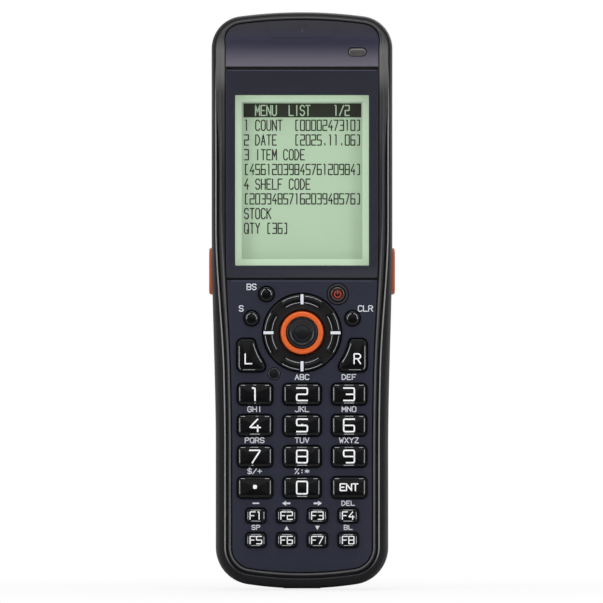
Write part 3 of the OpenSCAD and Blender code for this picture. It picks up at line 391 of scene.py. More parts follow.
# each look: colour, worn colour, roughness, bump, then what else differs
looks = {
    "case_dark": ((33, 33, 35), None, 0.46, 0.5, dict(grain=3600, depth=0.06, specular=0.05,
        bands=((50, 50, 53, -0.003, 0.007, "Y"),))),
    # the rim bead's pale colour is a painted highlight, dimmer from 128 mm up, dark at the top and near the foot
    "case_rim_painted_highlight": ((136, 136, 138), (158, 158, 160), 0.3, 0.2, dict(grain=4200, bands=(
        (112, 112, 113, 0.128, 0.145), (50, 50, 51, 0.147, 0.153), (34, 34, 36, 0.013, 0.005)))),
    # the front frame lightens from 118 mm up, with a painted highlight band at 142 to 150 mm and darker again above
    # 155 mm: painted light
    "case_front": ((36, 35, 37), None, 0.4, 0.25, dict(grain=3600, specular=0.25, bands=(
        (58, 58, 59, 0.118, 0.138), (104, 103, 102, 0.142, 0.150), (54, 53, 55, 0.155, 0.161)))),
    # the rail bead's pale colour is a painted highlight, dimmer from 90 mm up, brightest at 143 to 151 mm and dark at
    # the top
    "rail_painted_highlight": ((84, 84, 87), (104, 104, 106), 0.3, 0.1, dict(bands=(
        (60, 60, 62, 0.090, 0.112), (98, 97, 96, 0.143, 0.151), (56, 55, 57, 0.155, 0.161)))),
    "panel_navy": ((40, 42, 57), (46, 48, 63), 0.5, 0.25, dict(grain=5200, depth=0.04, specular=0.22,
        mottleScale=900.0)),
    # painted shade towards the top panel's upper end and a painted reflection along its lower edge, below 158.5 mm
    "panel_top": ((45, 44, 62), (51, 50, 68), 0.42, 0.3, dict(
        grain=5200, depth=0.04, specular=0.2, mottleScale=900.0,
        bands=((24, 23, 35, 0.1592, 0.1632), (106, 102, 114, 0.1585, 0.1508)))),
    "window_border": ((44, 45, 55), (48, 49, 59), 0.22, 0.03, dict(specular=0.35)),
    # the LCD's glow stands for its backlight, raised to make up for the shade in its deep recess: partly painted
    # light
    "lcd_green": ((172, 197, 168), (182, 205, 178), 0.4, 0.05, dict(
        grain=9000, specular=0.25, mottleScale=60.0, drift=0.05, glow=(172, 197, 168, 0.16))),
    # the paler margin round the LCD's active area is its own; its stronger glow is painted light that lifts the shade
    # of the frame walls
    "lcd_edge": ((190, 214, 186), (180, 205, 174), 0.45, 0.05, dict(specular=0.25, glow=(196, 220, 192, 0.3))),
    "lcd_ink": ((50, 54, 45), (58, 62, 52), 0.5, 0.02, dict(specular=0.2)),
    "key_gloss": ((9, 9, 11), (13, 13, 15), 0.16, 0.02, dict(drift=0.06, specular=0.2, coat=0.1, coatRough=0.05)),
    # a pale colour for painted glints on the keys' and the cursor pads' edges
    "key_painted_glint": ((150, 152, 160), (205, 207, 214), 0.15, 0.02, dict(mottleScale=420.0, mottle=1.2)),
    # the legends are print; their faint glow is painted light
    "legend_white": ((244, 245, 248), (248, 249, 251), 0.35, 0.02, dict(specular=0.4, glow=(255, 255, 255, 0.12))),
    # a pale colour for the digits' painted reflections in the cap bevels
    "legend_painted_reflection": ((172, 174, 182), (196, 198, 205), 0.3, 0.02, dict(specular=0.4)),
    # a paler strip along the panels' upper edges: painted highlight
    "panel_edge_painted_highlight": ((76, 78, 95), (84, 86, 102), 0.35, 0.05, dict(specular=0.3)),
    # the labels are print; their faint glow is painted light
    "label_white": ((214, 216, 224), (226, 228, 234), 0.5, 0.05, dict(specular=0.3, glow=(226, 228, 234, 0.14))),
    "cursor_black": ((22, 20, 21), (27, 25, 26), 0.36, 0.3, dict(grain=4200, specular=0.25)),
    "cursor_pad": ((12, 12, 13), (16, 16, 17), 0.2, 0.05, dict(specular=0.25, coat=0.1)),
    "centre_cap": ((18, 19, 23), (25, 26, 31), 0.22, 0.1, dict(specular=0.35, coat=0.1)),
    # black for the inside of the port: painted shade
    "port_painted_shade": ((14, 15, 19), (20, 21, 26), 0.3, 0.05, dict(specular=0.25)),
    # darker than the top panel: painted shade in the moulded outline's groove
    "groove_painted_shade": ((33, 32, 43), (37, 36, 47), 0.5, 0.05, dict(specular=0.2)),
    # the triggers' darker orange is the same orange in painted shade
    "trigger_orange_painted_shade": ((176, 80, 40), (194, 94, 50), 0.42, 0.3, dict(grain=4200, specular=0.35, mottleScale=240.0)),
    "orange": ((228, 95, 28), (238, 112, 40), 0.3, 0.12, dict(grain=4200, specular=0.45, mottleScale=240.0)),
    "key_red": ((44, 12, 10), (56, 16, 12), 0.14, 0.02, dict(coat=0.4)),
    # the power icon's faint glow is painted light
    "power_ink": ((176, 60, 40), (188, 74, 50), 0.3, 0.02, dict(glow=(150, 40, 22, 0.08))),
    "ring_grey": ((46, 46, 50), (58, 58, 62), 0.28, 0.05, dict(specular=0.6)),
    "smoked_lens": ((74, 71, 71), (92, 88, 86), 0.2, 0.02, dict(coat=0.2, mottleScale=500.0)),
    "inner_plastic": ((70, 70, 74), None, 0.55, 0.2, dict(grain=3000)),
    "light_guide": ((228, 230, 222), (238, 240, 232), 0.3, 0.05, {}),
    "silicone": ((176, 178, 176), (190, 192, 190), 0.62, 0.2, dict(grain=2000)),
    "circuit_board": ((22, 74, 46), (30, 92, 58), 0.38, 0.3, dict(grain=1400, mottleScale=900.0)),
    "chip_black": ((28, 28, 30), (36, 36, 38), 0.5, 0.2, dict(grain=3200)),
    "mirror_face": ((214, 218, 222), (226, 230, 234), 0.06, 0.0, dict(drift=0.02, metallic=1.0)),
    "red_window": ((74, 8, 14), (92, 12, 18), 0.07, 0.0, dict(drift=0.03, specular=0.6, coat=0.6, coatRough=0.03)),
    "steel": ((150, 150, 154), (176, 176, 180), 0.3, 0.1, dict(metallic=1.0, grain=4000)),
    "gold": ((212, 172, 98), (226, 190, 120), 0.26, 0.08, dict(metallic=1.0, grain=4000)),
    "cell_blue": ((40, 66, 122), (52, 80, 138), 0.36, 0.08, {}),
    "seal_rubber": ((26, 26, 27), None, 0.7, 0.3, dict(grain=3000)),
    "cover_dark": ((40, 40, 43), (46, 46, 49), 0.48, 0.5, dict(grain=3600, depth=0.06, specular=0.25)),
    "lock_grey": ((92, 92, 96), (108, 108, 112), 0.4, 0.3, dict(grain=3600)),
}
finish = {name: makeMoulded(name, *look[:4], **look[4]) for name, look in looks.items()}
print("finishes made")

# rear case

caseShell = {"rimSteps": 9, "roundSteps": 9, "backSteps": 8, "wallEnd": 6.6, "mouthFloor": 5.8, "lipDepth": 0.2}


def acrossBack(t, w):  # from the back's rounded edge to its spine, a wall's thickness in
    base = ringLine - ringOut * (w + edgeRound(ringZ))[:, None]
    z = base[:, 1] + (spineZ(*base.T) - base[:, 1]) * t
    return np.stack([base[:, 0] * (1 - t), body["frontY"] + backDepth(z) - w, z], 1)


def roundBack(b, w):  # the quarter wave between side and back
    inset = w + edgeRound(ringZ) * (1 - math.cos(b))
    z = (ringLine - ringOut * inset[:, None])[:, 1]
    return ringRow(inset, backDepth(z) - w - body["edgeShare"] * edgeRound(ringZ) * (1 - math.sin(b)), False)


def caseRows(s):
    # the hollow from its floor outwards, the mouth, the rim's quarter wave to the side, then round and over the back
    w, quarter, lip = body["wall"], math.pi / 2, s["lipDepth"]
    mouth, ridge, level = mouthIn(ringZ), ridgeIn(ringZ), along("lip", ringZ)
    rows = [acrossBack(t, w) for t in np.linspace(1, 0, s["backSteps"])]
    rows += [roundBack(b, w) for b in np.linspace(quarter, 0, s["roundSteps"])[1:]]
    rows += [ringRow(w, s["wallEnd"]), ringRow(mouth, s["mouthFloor"])]
    rows += [ringRow(mouth + (ridge - mouth) * k, lip + (d - lip) * level)
        for k, d in ((0, 0.5), (0.12, 0.3), (0.5, 0.2))]
    rows += [ringRow(ridge * (1 - math.sin(a)), body["rim"] + frontEdge(ringZ) * (1 - math.cos(a)))
        for a in np.linspace(0, quarter, s["rimSteps"])]
    rows += [roundBack(b, 0) for b in np.linspace(0, quarter, s["roundSteps"])]
    return rows + [acrossBack(t, 0) for t in np.linspace(0, 1, s["backSteps"])[1:]]


screwPlaces = [(s * x, z) for s in (-1, 1) for x, z in ((15.0, 8.0), (18.0, 88.0), (19.5, 150.5))]
footPads = [(-11.2, 2.0), (-7.6, 2.0), (0.0, 8.4), (7.6, 2.0), (11.2, 2.0)]  # middles and widths
triggerAt = (10.4, 91.9)  # depth and height
hinge = (22.8, 82.8)
caseCuts = {"boss": 2.7, "bossFront": 15.2, "bossFloor": 1.2, "bore": 1.2, "head": 2.05, "bay": 17.8, "bayTop": 79.3,
    "seat": 19.75, "seatFoot": 18.35, "back": 26.5, "padSink": 1.35, "padFoot": 9.05, "padTop": 14.55,
    "slitAt": 136, "slitPitch": 1.8}


def backAt(z, further=0.0):
    return float(backDepth(z)) + further


def footCut(x, w, s=caseCuts):
    lo, hi, half = backAt(9.2), backAt(14.4), w / 2
    return sidePrism(x - half - 0.15, x + half + 0.15, [[lo - s["padSink"], s["padFoot"]], [lo + 2, s["padFoot"]],
            [hi + 2, s["padTop"]], [hi - s["padSink"], s["padTop"]]])


shell = newObject("case_shell", [loft(caseRows(caseShell), False, False)])
c = caseCuts
strapBlock = [[3.6, 8], [3.6, 0.8], [18.4, 0.8]] + [[backAt(z, -c["bossFloor"]), z] for z in (3.0, 8.0)]
carve(shell, [box(-21, 21, 11, 22.9, 19.4, 80.6), box(-21, 21, 19.6, 22.9, c["bayTop"], 85.7),
        sidePrism(-10.3, 10.3, strapBlock), slopeBox(34, 15.6, -3.4, -0.6)]
    + [box(x - c["boss"], x + c["boss"], c["bossFront"], backAt(z, -c["bossFloor"]), z - c["boss"], z + c["boss"])
        for x, z in screwPlaces], "UNION")
carve(shell, [box(-c["bay"], c["bay"], 12, c["back"], 21, c["bayTop"]), box(-5.4, 5.4, 10, 13, 23.6, 28.4),
        box(-c["seat"], c["seat"], 22.7, c["back"], c["seatFoot"], hinge[1]),
        crossPeg(*hinge, -c["seat"], c["seat"], 1.95),
        box(-c["seat"], c["seat"], hinge[0], c["back"], 81.8, 84.75), crossPeg(*hinge, -21, 21, 1.05),
        box(-4.8, 4.8, 21.75, 22.7, 16.5, 22),
        box(-5.5, 5.5, 4.5, c["back"], -2, 6.7), box(-8.9, 8.9, 12.7, 28.5, -2, 5.7),
        slopeBox(30.3, 12.3, -1.4, 4.6), slopeBox(27.6, 9.6, -6, 2)])
carve(shell, [peg(x, z, 14, backAt(z, -2.5), c["bore"], 24) for x, z in screwPlaces]
    + [peg(x, z, backAt(z, -3), backAt(z, 2), c["head"], 32) for x, z in screwPlaces])
carve(shell, [sidePrism(22 * s, 30 * s, rounded(7.5, 14.1, 3.6, *triggerAt)) for s in (-1, 1)]
    + [footCut(x, w) for x, w in footPads]
    + [slab(rounded(8, 0.8, 0.39, 0, c["slitAt"] + c["slitPitch"] * i, 5), 23.7, 31.7) for i in range(-2, 3)])
finishPiece(shell, "case", "case_dark", replaces=["rear_case"], angle=28)


def beadAlong(insetOf, depth, width, crest, low=1.0, steps=10):
    # a low half-round bead along a line round the silhouette, down to a share of its height at the top
    level = blend(1, low, 122, 150, ringZ)
    rows = [ringRow(insetOf(ringZ) + width / 2 * math.cos(t), depth - crest * level * math.sin(t))
        for t in np.linspace(0, math.pi, steps)]
    rows.append(ringRow(insetOf(ringZ), depth + 0.1))
    return loft(rows + rows[:1], False, False)


rimBead = {"width": 0.4, "crest": 0.16, "middle": 0.55, "depth": 0.24, "top": 0.2}
# a bead round the rim that carries a painted highlight
addPiece("case_rim_painted_highlight", [beadAlong(lambda z: ridgeIn(z) + 0.02 + (mouthIn(z) - ridgeIn(z)) * rimBead["middle"],
        rimBead["depth"], rimBead["width"], rimBead["crest"], rimBead["top"])],
    "case", "case_dark", "case_rim_painted_highlight", angle=60)
print("rear case made")

# front frame and its panels

cursorZ = 74.07
portAt, ledAt = (-8.1, 62.17), (16, 155.3)
numberAt = [((n % 3 - 1) * 13.6, 29.27 + (3 - n // 3) * 9.0) for n in range(12)]
numberWidth, numberHeight = [11.4 if n % 3 == 1 else 10.5 for n in range(12)], 6.6
functionAt = [((n % 4 - 1.5) * 8.9, 21.17 if n < 4 else 14.1) for n in range(8)]
roundAt = {"bs_key": (-10.31, 85.24), "s_key": (-14.61, 78.26), "clear_key": (14.61, 78.26),
    "power_key": (10.31, 85.24)}
panelGap = 0.3


def circleLine(r, cx, cz, steps=64):
    return lambda g: arc(r + g, cx, cz, fullTurn(steps))


sideKey = {"eye": (16.3, 65.6), "middle": (14.65, 67.57), "half": (4.35, 5), "corner": 1.8,
    "reach": 13.6, "ease": 1.1}


def sideKeyLine(side, s=sideKey):
    # along rays from the eye: the rounded rectangle, met by a circle about the cursor, their corner eased
    def line(g, steps=96):
        ray, eye, corner = arc(1, 0, 0, fullTurn(steps)), np.array(s["eye"]), s["corner"] + g
        lo, hi = np.zeros(steps), np.full(steps, 12.0)
        for _ in range(26):
            mid = (lo + hi) / 2
            p = eye + ray * mid[:, None]
            q = np.abs(p - np.array(s["middle"])) - (np.array(s["half"]) + g) + corner
            straight = np.hypot(*np.maximum(q, 0).T) + np.minimum(q.max(1), 0) - corner
            hollow = s["reach"] - g - np.hypot(p[:, 0], p[:, 1] - cursorZ)
            h = np.maximum(s["ease"] - np.abs(straight - hollow), 0) / s["ease"]
            inside = np.maximum(straight, hollow) + h * h * s["ease"] / 4 < 0
            lo, hi = np.where(inside, mid, lo), np.where(inside, hi, mid)
        return (eye + ray * lo[:, None]) * np.array([side, 1])
    return line


numberLines = [pill(w, numberHeight, 1.5, *at) for w, at in zip(numberWidth, numberAt)]
functionLines = [pill(6.1, 4.6, 1.1, *at) for at in functionAt]
keyLines = numberLines + functionLines + [sideKeyLine(s) for s in (-1, 1)] + [
    circleLine(2.35, *at) for key, at in roundAt.items() if key != "power_key"]
keyLines.append(circleLine(3.1, *roundAt["power_key"]))
holeLines = keyLines + [circleLine(11.5, 0, cursorZ, 128), circleLine(1.81, *portAt, 40)]


def holeCut(line, edge=0.16, back=4.0):  # a hole with a fine bevel round its mouth
    return stepped(line, ((edge + 0.5, -0.5), (edge, 0.0), (edge * 0.3, edge * 0.7), (0, edge * 1.3), (0, back)))


def panelLine(z0, z1, g=0.0):  # the front's inset outline between two heights, grown by g
    half = len(ringLine) // 2 + 1
    p = (ringLine - ringOut * (panelIn(ringZ) - g)[:, None])[:half]
    p[0, 0] = p[-1, 0] = 0
    z0, z1 = z0 - g, z1 + g
    right = p[(p[:, 1] > z0 + 1e-4) & (p[:, 1] < z1 - 1e-4)]
    if p[0, 1] <= z0:
        right = np.concatenate([[[np.interp(z0, p[:, 1], p[:, 0]), z0]], right])
    if p[-1, 1] >= z1:
        right = np.concatenate([right, [[np.interp(z1, p[:, 1], p[:, 0]), z1]]])
    left = right[::-1] * np.array([-1, 1])
    return np.concatenate([right[right[:, 0] > 1e-6], left[left[:, 0] < -1e-6]])


def panelSlab(z0, z1, edge=0.2, thick=1.5):
    return stepped(lambda g: panelLine(z0, z1, g), [(0, thick), (0, edge), (-edge * 0.3, edge * 0.3), (-edge, 0)])


frontFrame = {"outer": 0.55, "crest": -0.12, "deckFront": 1.6, "deckBack": 3.2, "seatFront": 1.3, "seatBack": 2.4,
    "seatIn": 0.85}


def frameRows(s):
    # the seal's seat in the outer wall, then a rail from the groove over its crest to the panels' gap, u across it
    rail, gapIn, level = railIn(ringZ), panelIn(ringZ) - panelGap, along("groove", ringZ)
    seat = [(0, s["deckBack"]), (0, s["seatBack"]), (s["seatIn"], s["seatBack"]), (s["seatIn"], s["seatFront"]),
        (0, s["seatFront"])]
    rows = [ringRow(rail + g, d, False) for g, d in seat]
    for u, d in ((0, s["outer"]), (0.06, 0.32), (0.18, 0.15), (0.36, 0.02), (0.55, s["crest"] * 0.7),
            (0.72, s["crest"]), (0.88, s["crest"] * 0.6), (0.96, 0.02), (1.0, 0.16)):
        sunk = d > 0.03 and u < 0.5  # the groove's dip closes towards the top
        rows.append(ringRow(rail + (gapIn - rail) * u, d * (level if sunk else 1), False))
    return rows + [ringRow(gapIn, s["deckFront"], False)]


frontCase = newObject("front_bezel", [loft(frameRows(frontFrame))])
carve(frontCase, [peg(x, z, 2.7, 15, 2.0) for x, z in screwPlaces], "UNION")
carve(frontCase, [slab(line(0), -1, 4) for line in keyLines]
    + [peg(0, cursorZ, -1, 4, 11.5, 96), box(-19.65, 19.65, -1, 4, 93.25, 143.15),
        slab(rounded(4.3, 1.5, 0.7, *ledAt), -1, 9)]
    + [peg(x, z, 6, 16, 1.1, 24) for x, z in screwPlaces])
bend(frontCase)
finishPiece(frontCase, "case", "case_front", replaces=["front_case"], angle=30)
# a bead along the rail that carries a painted highlight
addPiece("rail_bead", [beadAlong(lambda z: railIn(z) + (panelIn(z) - panelGap - railIn(z)) * along("railBead", z),
        -0.06, 0.42, 0.09)], "case", "case_front", "rail_painted_highlight", angle=60)

keypadPanel = newObject("keypad_plate", [panelSlab(-1, 89.35)])
for group in (holeLines[:12], holeLines[12:]):
    carve(keypadPanel, [holeCut(line) for line in group])
finishPiece(keypadPanel, "case", "panel_navy", replaces=["keypad_panel"], angle=24)

windowBorder = newObject("window_border", [panelSlab(89.95, 150.25, 0.28)])
carve(windowBorder, [stepped(pill(38.7, 49.3, 0.3, 0, 118.2, 4, 0),
        ((0.55, -0.3), (0.25, 0.0), (0.0, 0.25), (0.0, 3)))])
finishPiece(windowBorder, "case", "window_glass", "window_border", ["display_window"], 24)

topPanel = newObject("top_plate", [panelSlab(151.1, 168)])
carve(topPanel, [holeCut(pill(5.4, 2.6, 1.3, *ledAt))])
bend(topPanel, 36)
finishPiece(topPanel, "case", "panel_top", replaces=["top_panel"], angle=24)

ledLens = newObject("led_window", [stepped(pill(5.1, 2.3, 1.14, *ledAt), (
        (0, 1.4), (0, 0.3), (-0.1, 0.12), (-0.35, 0.0), (-0.8, -0.05)))])
bend(ledLens, 8)
finishPiece(ledLens, "case", "smoked_lens", replaces=["led_lens"], angle=40)
print("front made")

# legends: strokes on a grid of four by six, each carried along as a low bar

strokes = {
    "0": "204046060020", "1": "162620", "2": "064643030040", "3": "06464000 1343", "4": "360242 3330",
    "5": "460603434000", "6": "460600404303", "7": "064610", "8": "204046060020 0343", "9": "430306464010",
    "A": "002640 1232", "B": "00063645443303 3342413000", "C": "4536160501103041", "D": "00062644422000",
    "E": "46060040 0333", "F": "460600 0333", "G": "45361605011030414323", "H": "0006 4046 0343", "I": "2026",
    "J": "4641301001", "K": "0006 4603 1440", "L": "060040", "M": "0006224640", "N": "00064046",
    "O": "20304145361605011020", "P": "00063645443303", "Q": "20304145361605011020 3240", "R": "00063645443303 2340",
    "S": "453616050413334241301001", "T": "0646 2620", "U": "060110304146", "V": "062046", "W": "0610243046",
    "X": "0046 0640", "Y": "062346 2320", "Z": "06460040", "$": "453616050413334241301001 2720", "/": "0046",
    "+": "0343 2125", "%": "0046 0506161505 3031414030", ":": "2122 2425", "*": "2125 0442 0244", ".": "2021",
    "[": "36161030", "]": "16363010",
}


def easeCorners(p, ease):  # each inner corner gives way to a short curve of three points
    out = [p[0]]
    for before, corner, after in zip(p[:-2], p[1:-1], p[2:]):
        a, b = before - corner, after - corner
        la, lb = np.hypot(*a), np.hypot(*b)
        start, end = corner + a / la * min(ease, la / 2), corner + b / lb * min(ease, lb / 2)
        out += [start, (start + end + 2 * corner) / 4, end]
    return np.array(out + [p[-1]])


def strokeBar(p, width, front, back):  # the line set off to both sides with mitred corners, ends squared
    p = np.array(p, float)
    run = np.diff(p, axis=0)
    run = run / np.hypot(*run.T)[:, None]
    p[0] -= run[0] * width * 0.35
    p[-1] += run[-1] * width * 0.35
    side = np.stack([-run[:, 1], run[:, 0]], 1)
    joint = np.concatenate([side[:1], side[:-1] + side[1:], side[-1:]])
    joint = joint / np.maximum(np.hypot(*joint.T), 0.3)[:, None]
    reach = np.ones(len(p))
    reach[1:-1] = 1 / np.maximum((joint[1:-1] * side[1:]).sum(1), 0.45)
    off = joint * reach[:, None] * width / 2
    corners = [flat(p + off, front), flat(p - off, front), flat(p - off, back), flat(p + off, back)]
    return loft(np.stack(corners, 1))


def writing(text, cx, cz, height, pitch, stroke, depth, ease=0.12, fill=0.74):
    parts = []
    u, v = pitch * fill / 4, height / 6
    for k, letter in enumerate(text):
        x0 = cx + (k - (len(text) - 1) / 2) * pitch - 2 * u
        for piece in strokes.get(letter, "").split():
            grid = np.array([[int(c) for c in piece[i:i + 2]] for i in range(0, len(piece), 2)], float)
            p = grid * np.array([u, v]) + np.array([x0, cz - height / 2])
            if ease and len(p) > 2:
                p = easeCorners(p, ease)
            parts.append(strokeBar(p, stroke, depth - 0.03, depth + 0.05))
    return parts


def wedge(tip, base, half):  # a filled triangle from its tip to the middle of its base
    tip, base = np.array(tip, float), np.array(base, float)
    side = np.array([base[1] - tip[1], tip[0] - base[0]])
    side *= half / np.linalg.norm(side)
    return slab([tip, base + side, base - side], 0.05, -0.03)


# keys

keyStyle = {"flange": 0.5, "flangeFront": 3.4, "flangeBack": 4.2, "gap": -0.32, "inner": -1.2, "face": -1.08}
keyProfile = [(-0.32, -0.5), (-0.34, -0.72), (-0.42, -0.93), (-0.54, -1.08), (-0.68, -1.17), (-0.82, -1.2),
    (-0.94, -1.18), (-1.04, -1.12), (-1.12, -1.09)]
litInset = 0.82
face = keyStyle["face"]


def keyCap(line, s=keyStyle):
    rows = [(s["flange"], s["flangeBack"]), (s["flange"], s["flangeFront"]), (s["gap"], s["flangeFront"])]
    return fanned([flat(line(g), d) for g, d in rows + keyProfile + [(s["inner"], s["face"])]])


# a painted glint: a thin bar just proud of the cap in a highlight colour
def glint(points, depth=-1.225, width=0.14):
    return strokeBar(points, width, depth, depth + 0.14)


def addKey(node, cap, lit=(), legend=(), echo=(), slotName="key_gloss"):
    addPiece(node + "_cap", [cap], node, slotName, replaces=[node])
    # the painted glints, the digit's painted reflections, then the legend
    for end, parts, edgeSlot, look in (("_painted_glints", lit, "key_gloss", "key_painted_glint"), ("_painted_reflection", echo, None, "legend_painted_reflection"),
            ("_legend", legend, None, "legend_white")):
        if len(parts):
            addPiece(node + end, parts, node, edgeSlot, look)


def keyGlints(cx, cz, w, h):  # painted glints along the clear cap's edges: the two sides, and short runs in from the upper corners
    x, z = w / 2 - litInset, h / 2 - litInset
    return [glint([[cx + s * x, cz - z * 0.72], [cx + s * x, cz + z * 0.8]]) for s in (-1, 1)] + [
        glint([[cx + s * (x - 0.35), cz + z + 0.12], [cx + s * (x - 1.5), cz + z + 0.12]], -1.215) for s in (-1, 1)]


legendStyle = {"width": 3.35, "height": 3.6, "stroke": 0.43, "ease": 0.42, "fill": 0.92, "over": 2.66, "under": 2.52}
numberKeys = ["1", "2", "3", "4", "5", "6", "7", "8", "9", "dot", "0", "enter"]
# the ends of each digit's painted reflection in the clear cap's bevels: above, then below
numberEcho = {"1": (-0.5, 0.3, -0.1, 0.15), "2": (-1.3, 1.3, -1.5, 1.5), "3": (-1.3, 1.2, -1.4, 1.4),
    "4": (0.2, 0.9, -1.4, 1.3), "5": (-1.3, 1.3, -1.5, 1.4), "6": (-1.1, 1.2, -1.4, 1.4),
    "7": (-1.4, 0.9, -0.9, -0.5), "8": (-1.3, 1.3, -1.4, 1.4), "9": (-1.2, 1.2, -1.5, 1.3),
    "0": (-1.3, 1.3, -1.4, 1.4)}
for n, key in enumerate(numberKeys):
    (cx, cz), s, echo = numberAt[n], legendStyle, []
    if key == "enter":
        marks = writing("ENT", cx, cz + 0.12, 1.95, 1.84, 0.36, face, 0.16, 0.78)
    elif key == "dot":
        marks = [stepped(pill(1.15, 1.15, 0.35, cx, cz + 0.2, 5, 0), ((0, -1.0), (0, -1.11), (-0.06, -1.13)))]
    else:
        marks = writing(key, cx, cz, s["height"], s["width"], s["stroke"], face, s["ease"], s["fill"])
        above, below = numberEcho[key][:2], numberEcho[key][2:]
        # painted reflections of the digit, above and below it
        echo = [strokeBar([[cx + x, cz + s["over"]] for x in above], 0.15, -1.19, -1.0),
            strokeBar([[cx + x, cz - s["under"]] for x in below], 0.2, -1.21, -1.0)]
    if key == "5":
        marks.append(fanned(turned([[0.36, -1.05], [0.34, -1.2], [0.2, -1.28], [0.06, -1.3]], cx, cz + 0.1, 20)))
    addKey("key_" + key, keyCap(numberLines[n]), keyGlints(cx, cz, numberWidth[n], numberHeight), marks, echo)

for n, (cx, cz) in enumerate(functionAt):
    x, z = 3.05 - 0.72, 2.3 - 0.72
    # painted glints along the cap's four edges
    lit = [glint([[cx + s * x, cz - z * 0.6], [cx + s * x, cz + z * 0.6]], width=0.16) for s in (-1, 1)]
    lit += [glint([[cx - x * 0.55, cz + s * z], [cx + x * 0.55, cz + s * z]], width=0.16) for s in (-1, 1)]
    text = "F%d" % (n + 1)
    addKey("key_" + text.lower(), keyCap(functionLines[n]), lit,
        writing(text, cx, cz, 2.15, 1.86, 0.29, face, 0.14, 0.8))

for side, node, letter, ease in ((-1, "l_key", "L", 0.0), (1, "r_key", "R", 0.2)):
    line = sideKeyLine(side)
    p = line(-litInset)
    edge = p[np.argsort(np.arctan2(p[:, 1] - sideKey["eye"][1], side * (p[:, 0] - side * sideKey["eye"][0])))]
    outer = edge[(side * edge[:, 0] > 17.2) & (edge[:, 1] > 63.6) & (edge[:, 1] < 71.2)]
    inner = edge[np.abs(np.hypot(edge[:, 0], edge[:, 1] - cursorZ) - sideKey["reach"] - litInset) < 0.12]
    outer, inner = (q[np.argsort(q[:, 1])][::2] for q in (outer, inner))
    foot = 62.57 + litInset
    # painted glints along the outer and inner edges and the foot
    lit = [glint(outer), glint(inner, width=0.16), glint([[side * 13.6, foot], [side * 17.0, foot]], width=0.11)]
    addKey(node, keyCap(line), lit, writing(letter, side * 15.75 + 0.25, 66.55, 2.85, 2.3, 0.37, face, ease, 0.82))

dome = [(2.03, 0.45), (1.98, 0.22), (1.82, 0.08), (1.6, 0.01), (1.3, 0.0), (0.9, 0.04), (0.4, 0.06), (0.05, 0.07)]
for node, (cx, cz) in roundAt.items():
    power = node == "power_key"
    rise = 0.8 if power else 1.0
    cap = fanned(turned([(2.85, 4.2), (2.85, 3.4), (2.03, 3.4)] + [(r, d - rise) for r, d in dome], cx, cz, 48))
    # painted glints in two arcs
    lit = [glint(arc(1.42, cx, cz, np.radians(np.linspace(*ends, 16))), -rise - 0.01)
        for ends in ((106, 190), (-10, 74))]
    addKey(node, cap, [] if power else lit, slotName="key_red" if power else "key_gloss")
cx, cz = roundAt["power_key"]
addPiece("power_icon", [strokeBar(p, 0.3, -0.84, -0.7) for p in (
        arc(0.92, cx, cz, np.radians(np.linspace(128, 412, 30))), [[cx, cz + 0.1], [cx, cz + 1.15]])],
    "power_key", "key_red", "power_ink")
# thin strips along the upper edges of the keypad and window border carry a painted highlight
addPiece("panel_painted_glints", [box(-x, x, -0.03, 0.1, z - 0.17, z) for x, z in ((20.4, 89.12), (21.5, 150.02))],
    "case", "panel_navy", "panel_edge_painted_highlight")
# a dark strip in the gap between the window border and the top panel: painted shade
addPiece("gap_shade_strip", [box(-21.8, 21.8, 1.3, 1.58, 150.36, 150.99)], "case", "seal_rubber")
print("keys made")

# cursor

cursorStyle = {"padArc": 36.5, "padIn": 8.35, "padOut": 10.95, "padTop": -1.0, "padFoot": -0.15}
quarters = (0, 90, 180, 270)


def arcPad(middle, s=cursorStyle):  # a rounded bar section carried along an arc, lower at its two ends
    t = np.linspace(-1, 1, 41)
    a = np.radians(middle + t * s["padArc"])
    k = np.sqrt(np.clip(1 - np.clip((np.abs(t) - 0.93) / 0.075, 0, 1) ** 2, 0.02, 1))
    rm, hw = (s["padIn"] + s["padOut"]) / 2, (s["padOut"] - s["padIn"]) / 2
    half = [(-1, 0.0), (-1, 0.6), (-0.94, 0.86), (-0.82, 0.98), (-0.66, 1.0), (-0.4, 0.9)]
    rows = []
    for u, h in half + [(-u, h) for u, h in half[::-1]]:
        r = rm + u * hw * k
        d = s["padFoot"] + (s["padTop"] - s["padFoot"]) * h * (0.25 + 0.75 * k)
        rows.append(np.stack([r * np.cos(a), body["frontY"] + d, cursorZ + r * np.sin(a)], 1))
    return loft(np.stack(rows, 1))


# profiles of radius and depth
disc = [[6.65, 4.62], [12.0, 4.62], [12.0, 4.0], [11.13, 4.0], [11.13, 0.05], [11.05, -0.15], [10.85, -0.27],
    [10.6, -0.3], [8.2, -0.28], [7.4, -0.2], [6.85, -0.12], [6.65, 0.1]]
ring = [[4.6, 1.1], [4.6, -0.85], [4.68, -1.08], [4.9, -1.24], [5.2, -1.3], [5.6, -1.28], [5.95, -1.12],
    [6.14, -0.88], [6.2, -0.6], [6.2, 5.13], [7.1, 5.13], [7.1, 5.63], [4.6, 5.63]]
dish = [[4.4, 1.05], [4.4, -1.3], [4.34, -1.48], [4.15, -1.58], [3.9, -1.6], [3.6, -1.55], [3.3, -1.42],
    [3.16, -1.34], [3.04, -1.38], [2.92, -1.34], [2.6, -1.24], [2.2, -1.17], [2.08, -1.21], [1.96, -1.17],
    [1.6, -1.12], [1.0, -1.08], [0.4, -1.06], [0.05, -1.06]]
collar = [[2.4, 1.45], [2.4, -0.2], [2.48, -0.31], [2.62, -0.35], [2.78, -0.31], [2.92, -0.16],
    [2.95, 0.0], [2.95, 1.45]]
port = [[1.35, 1.4], [1.35, 0.0], [1.42, -0.08], [1.52, -0.1], [1.62, -0.05], [1.66, 0.05], [1.66, 1.4]]
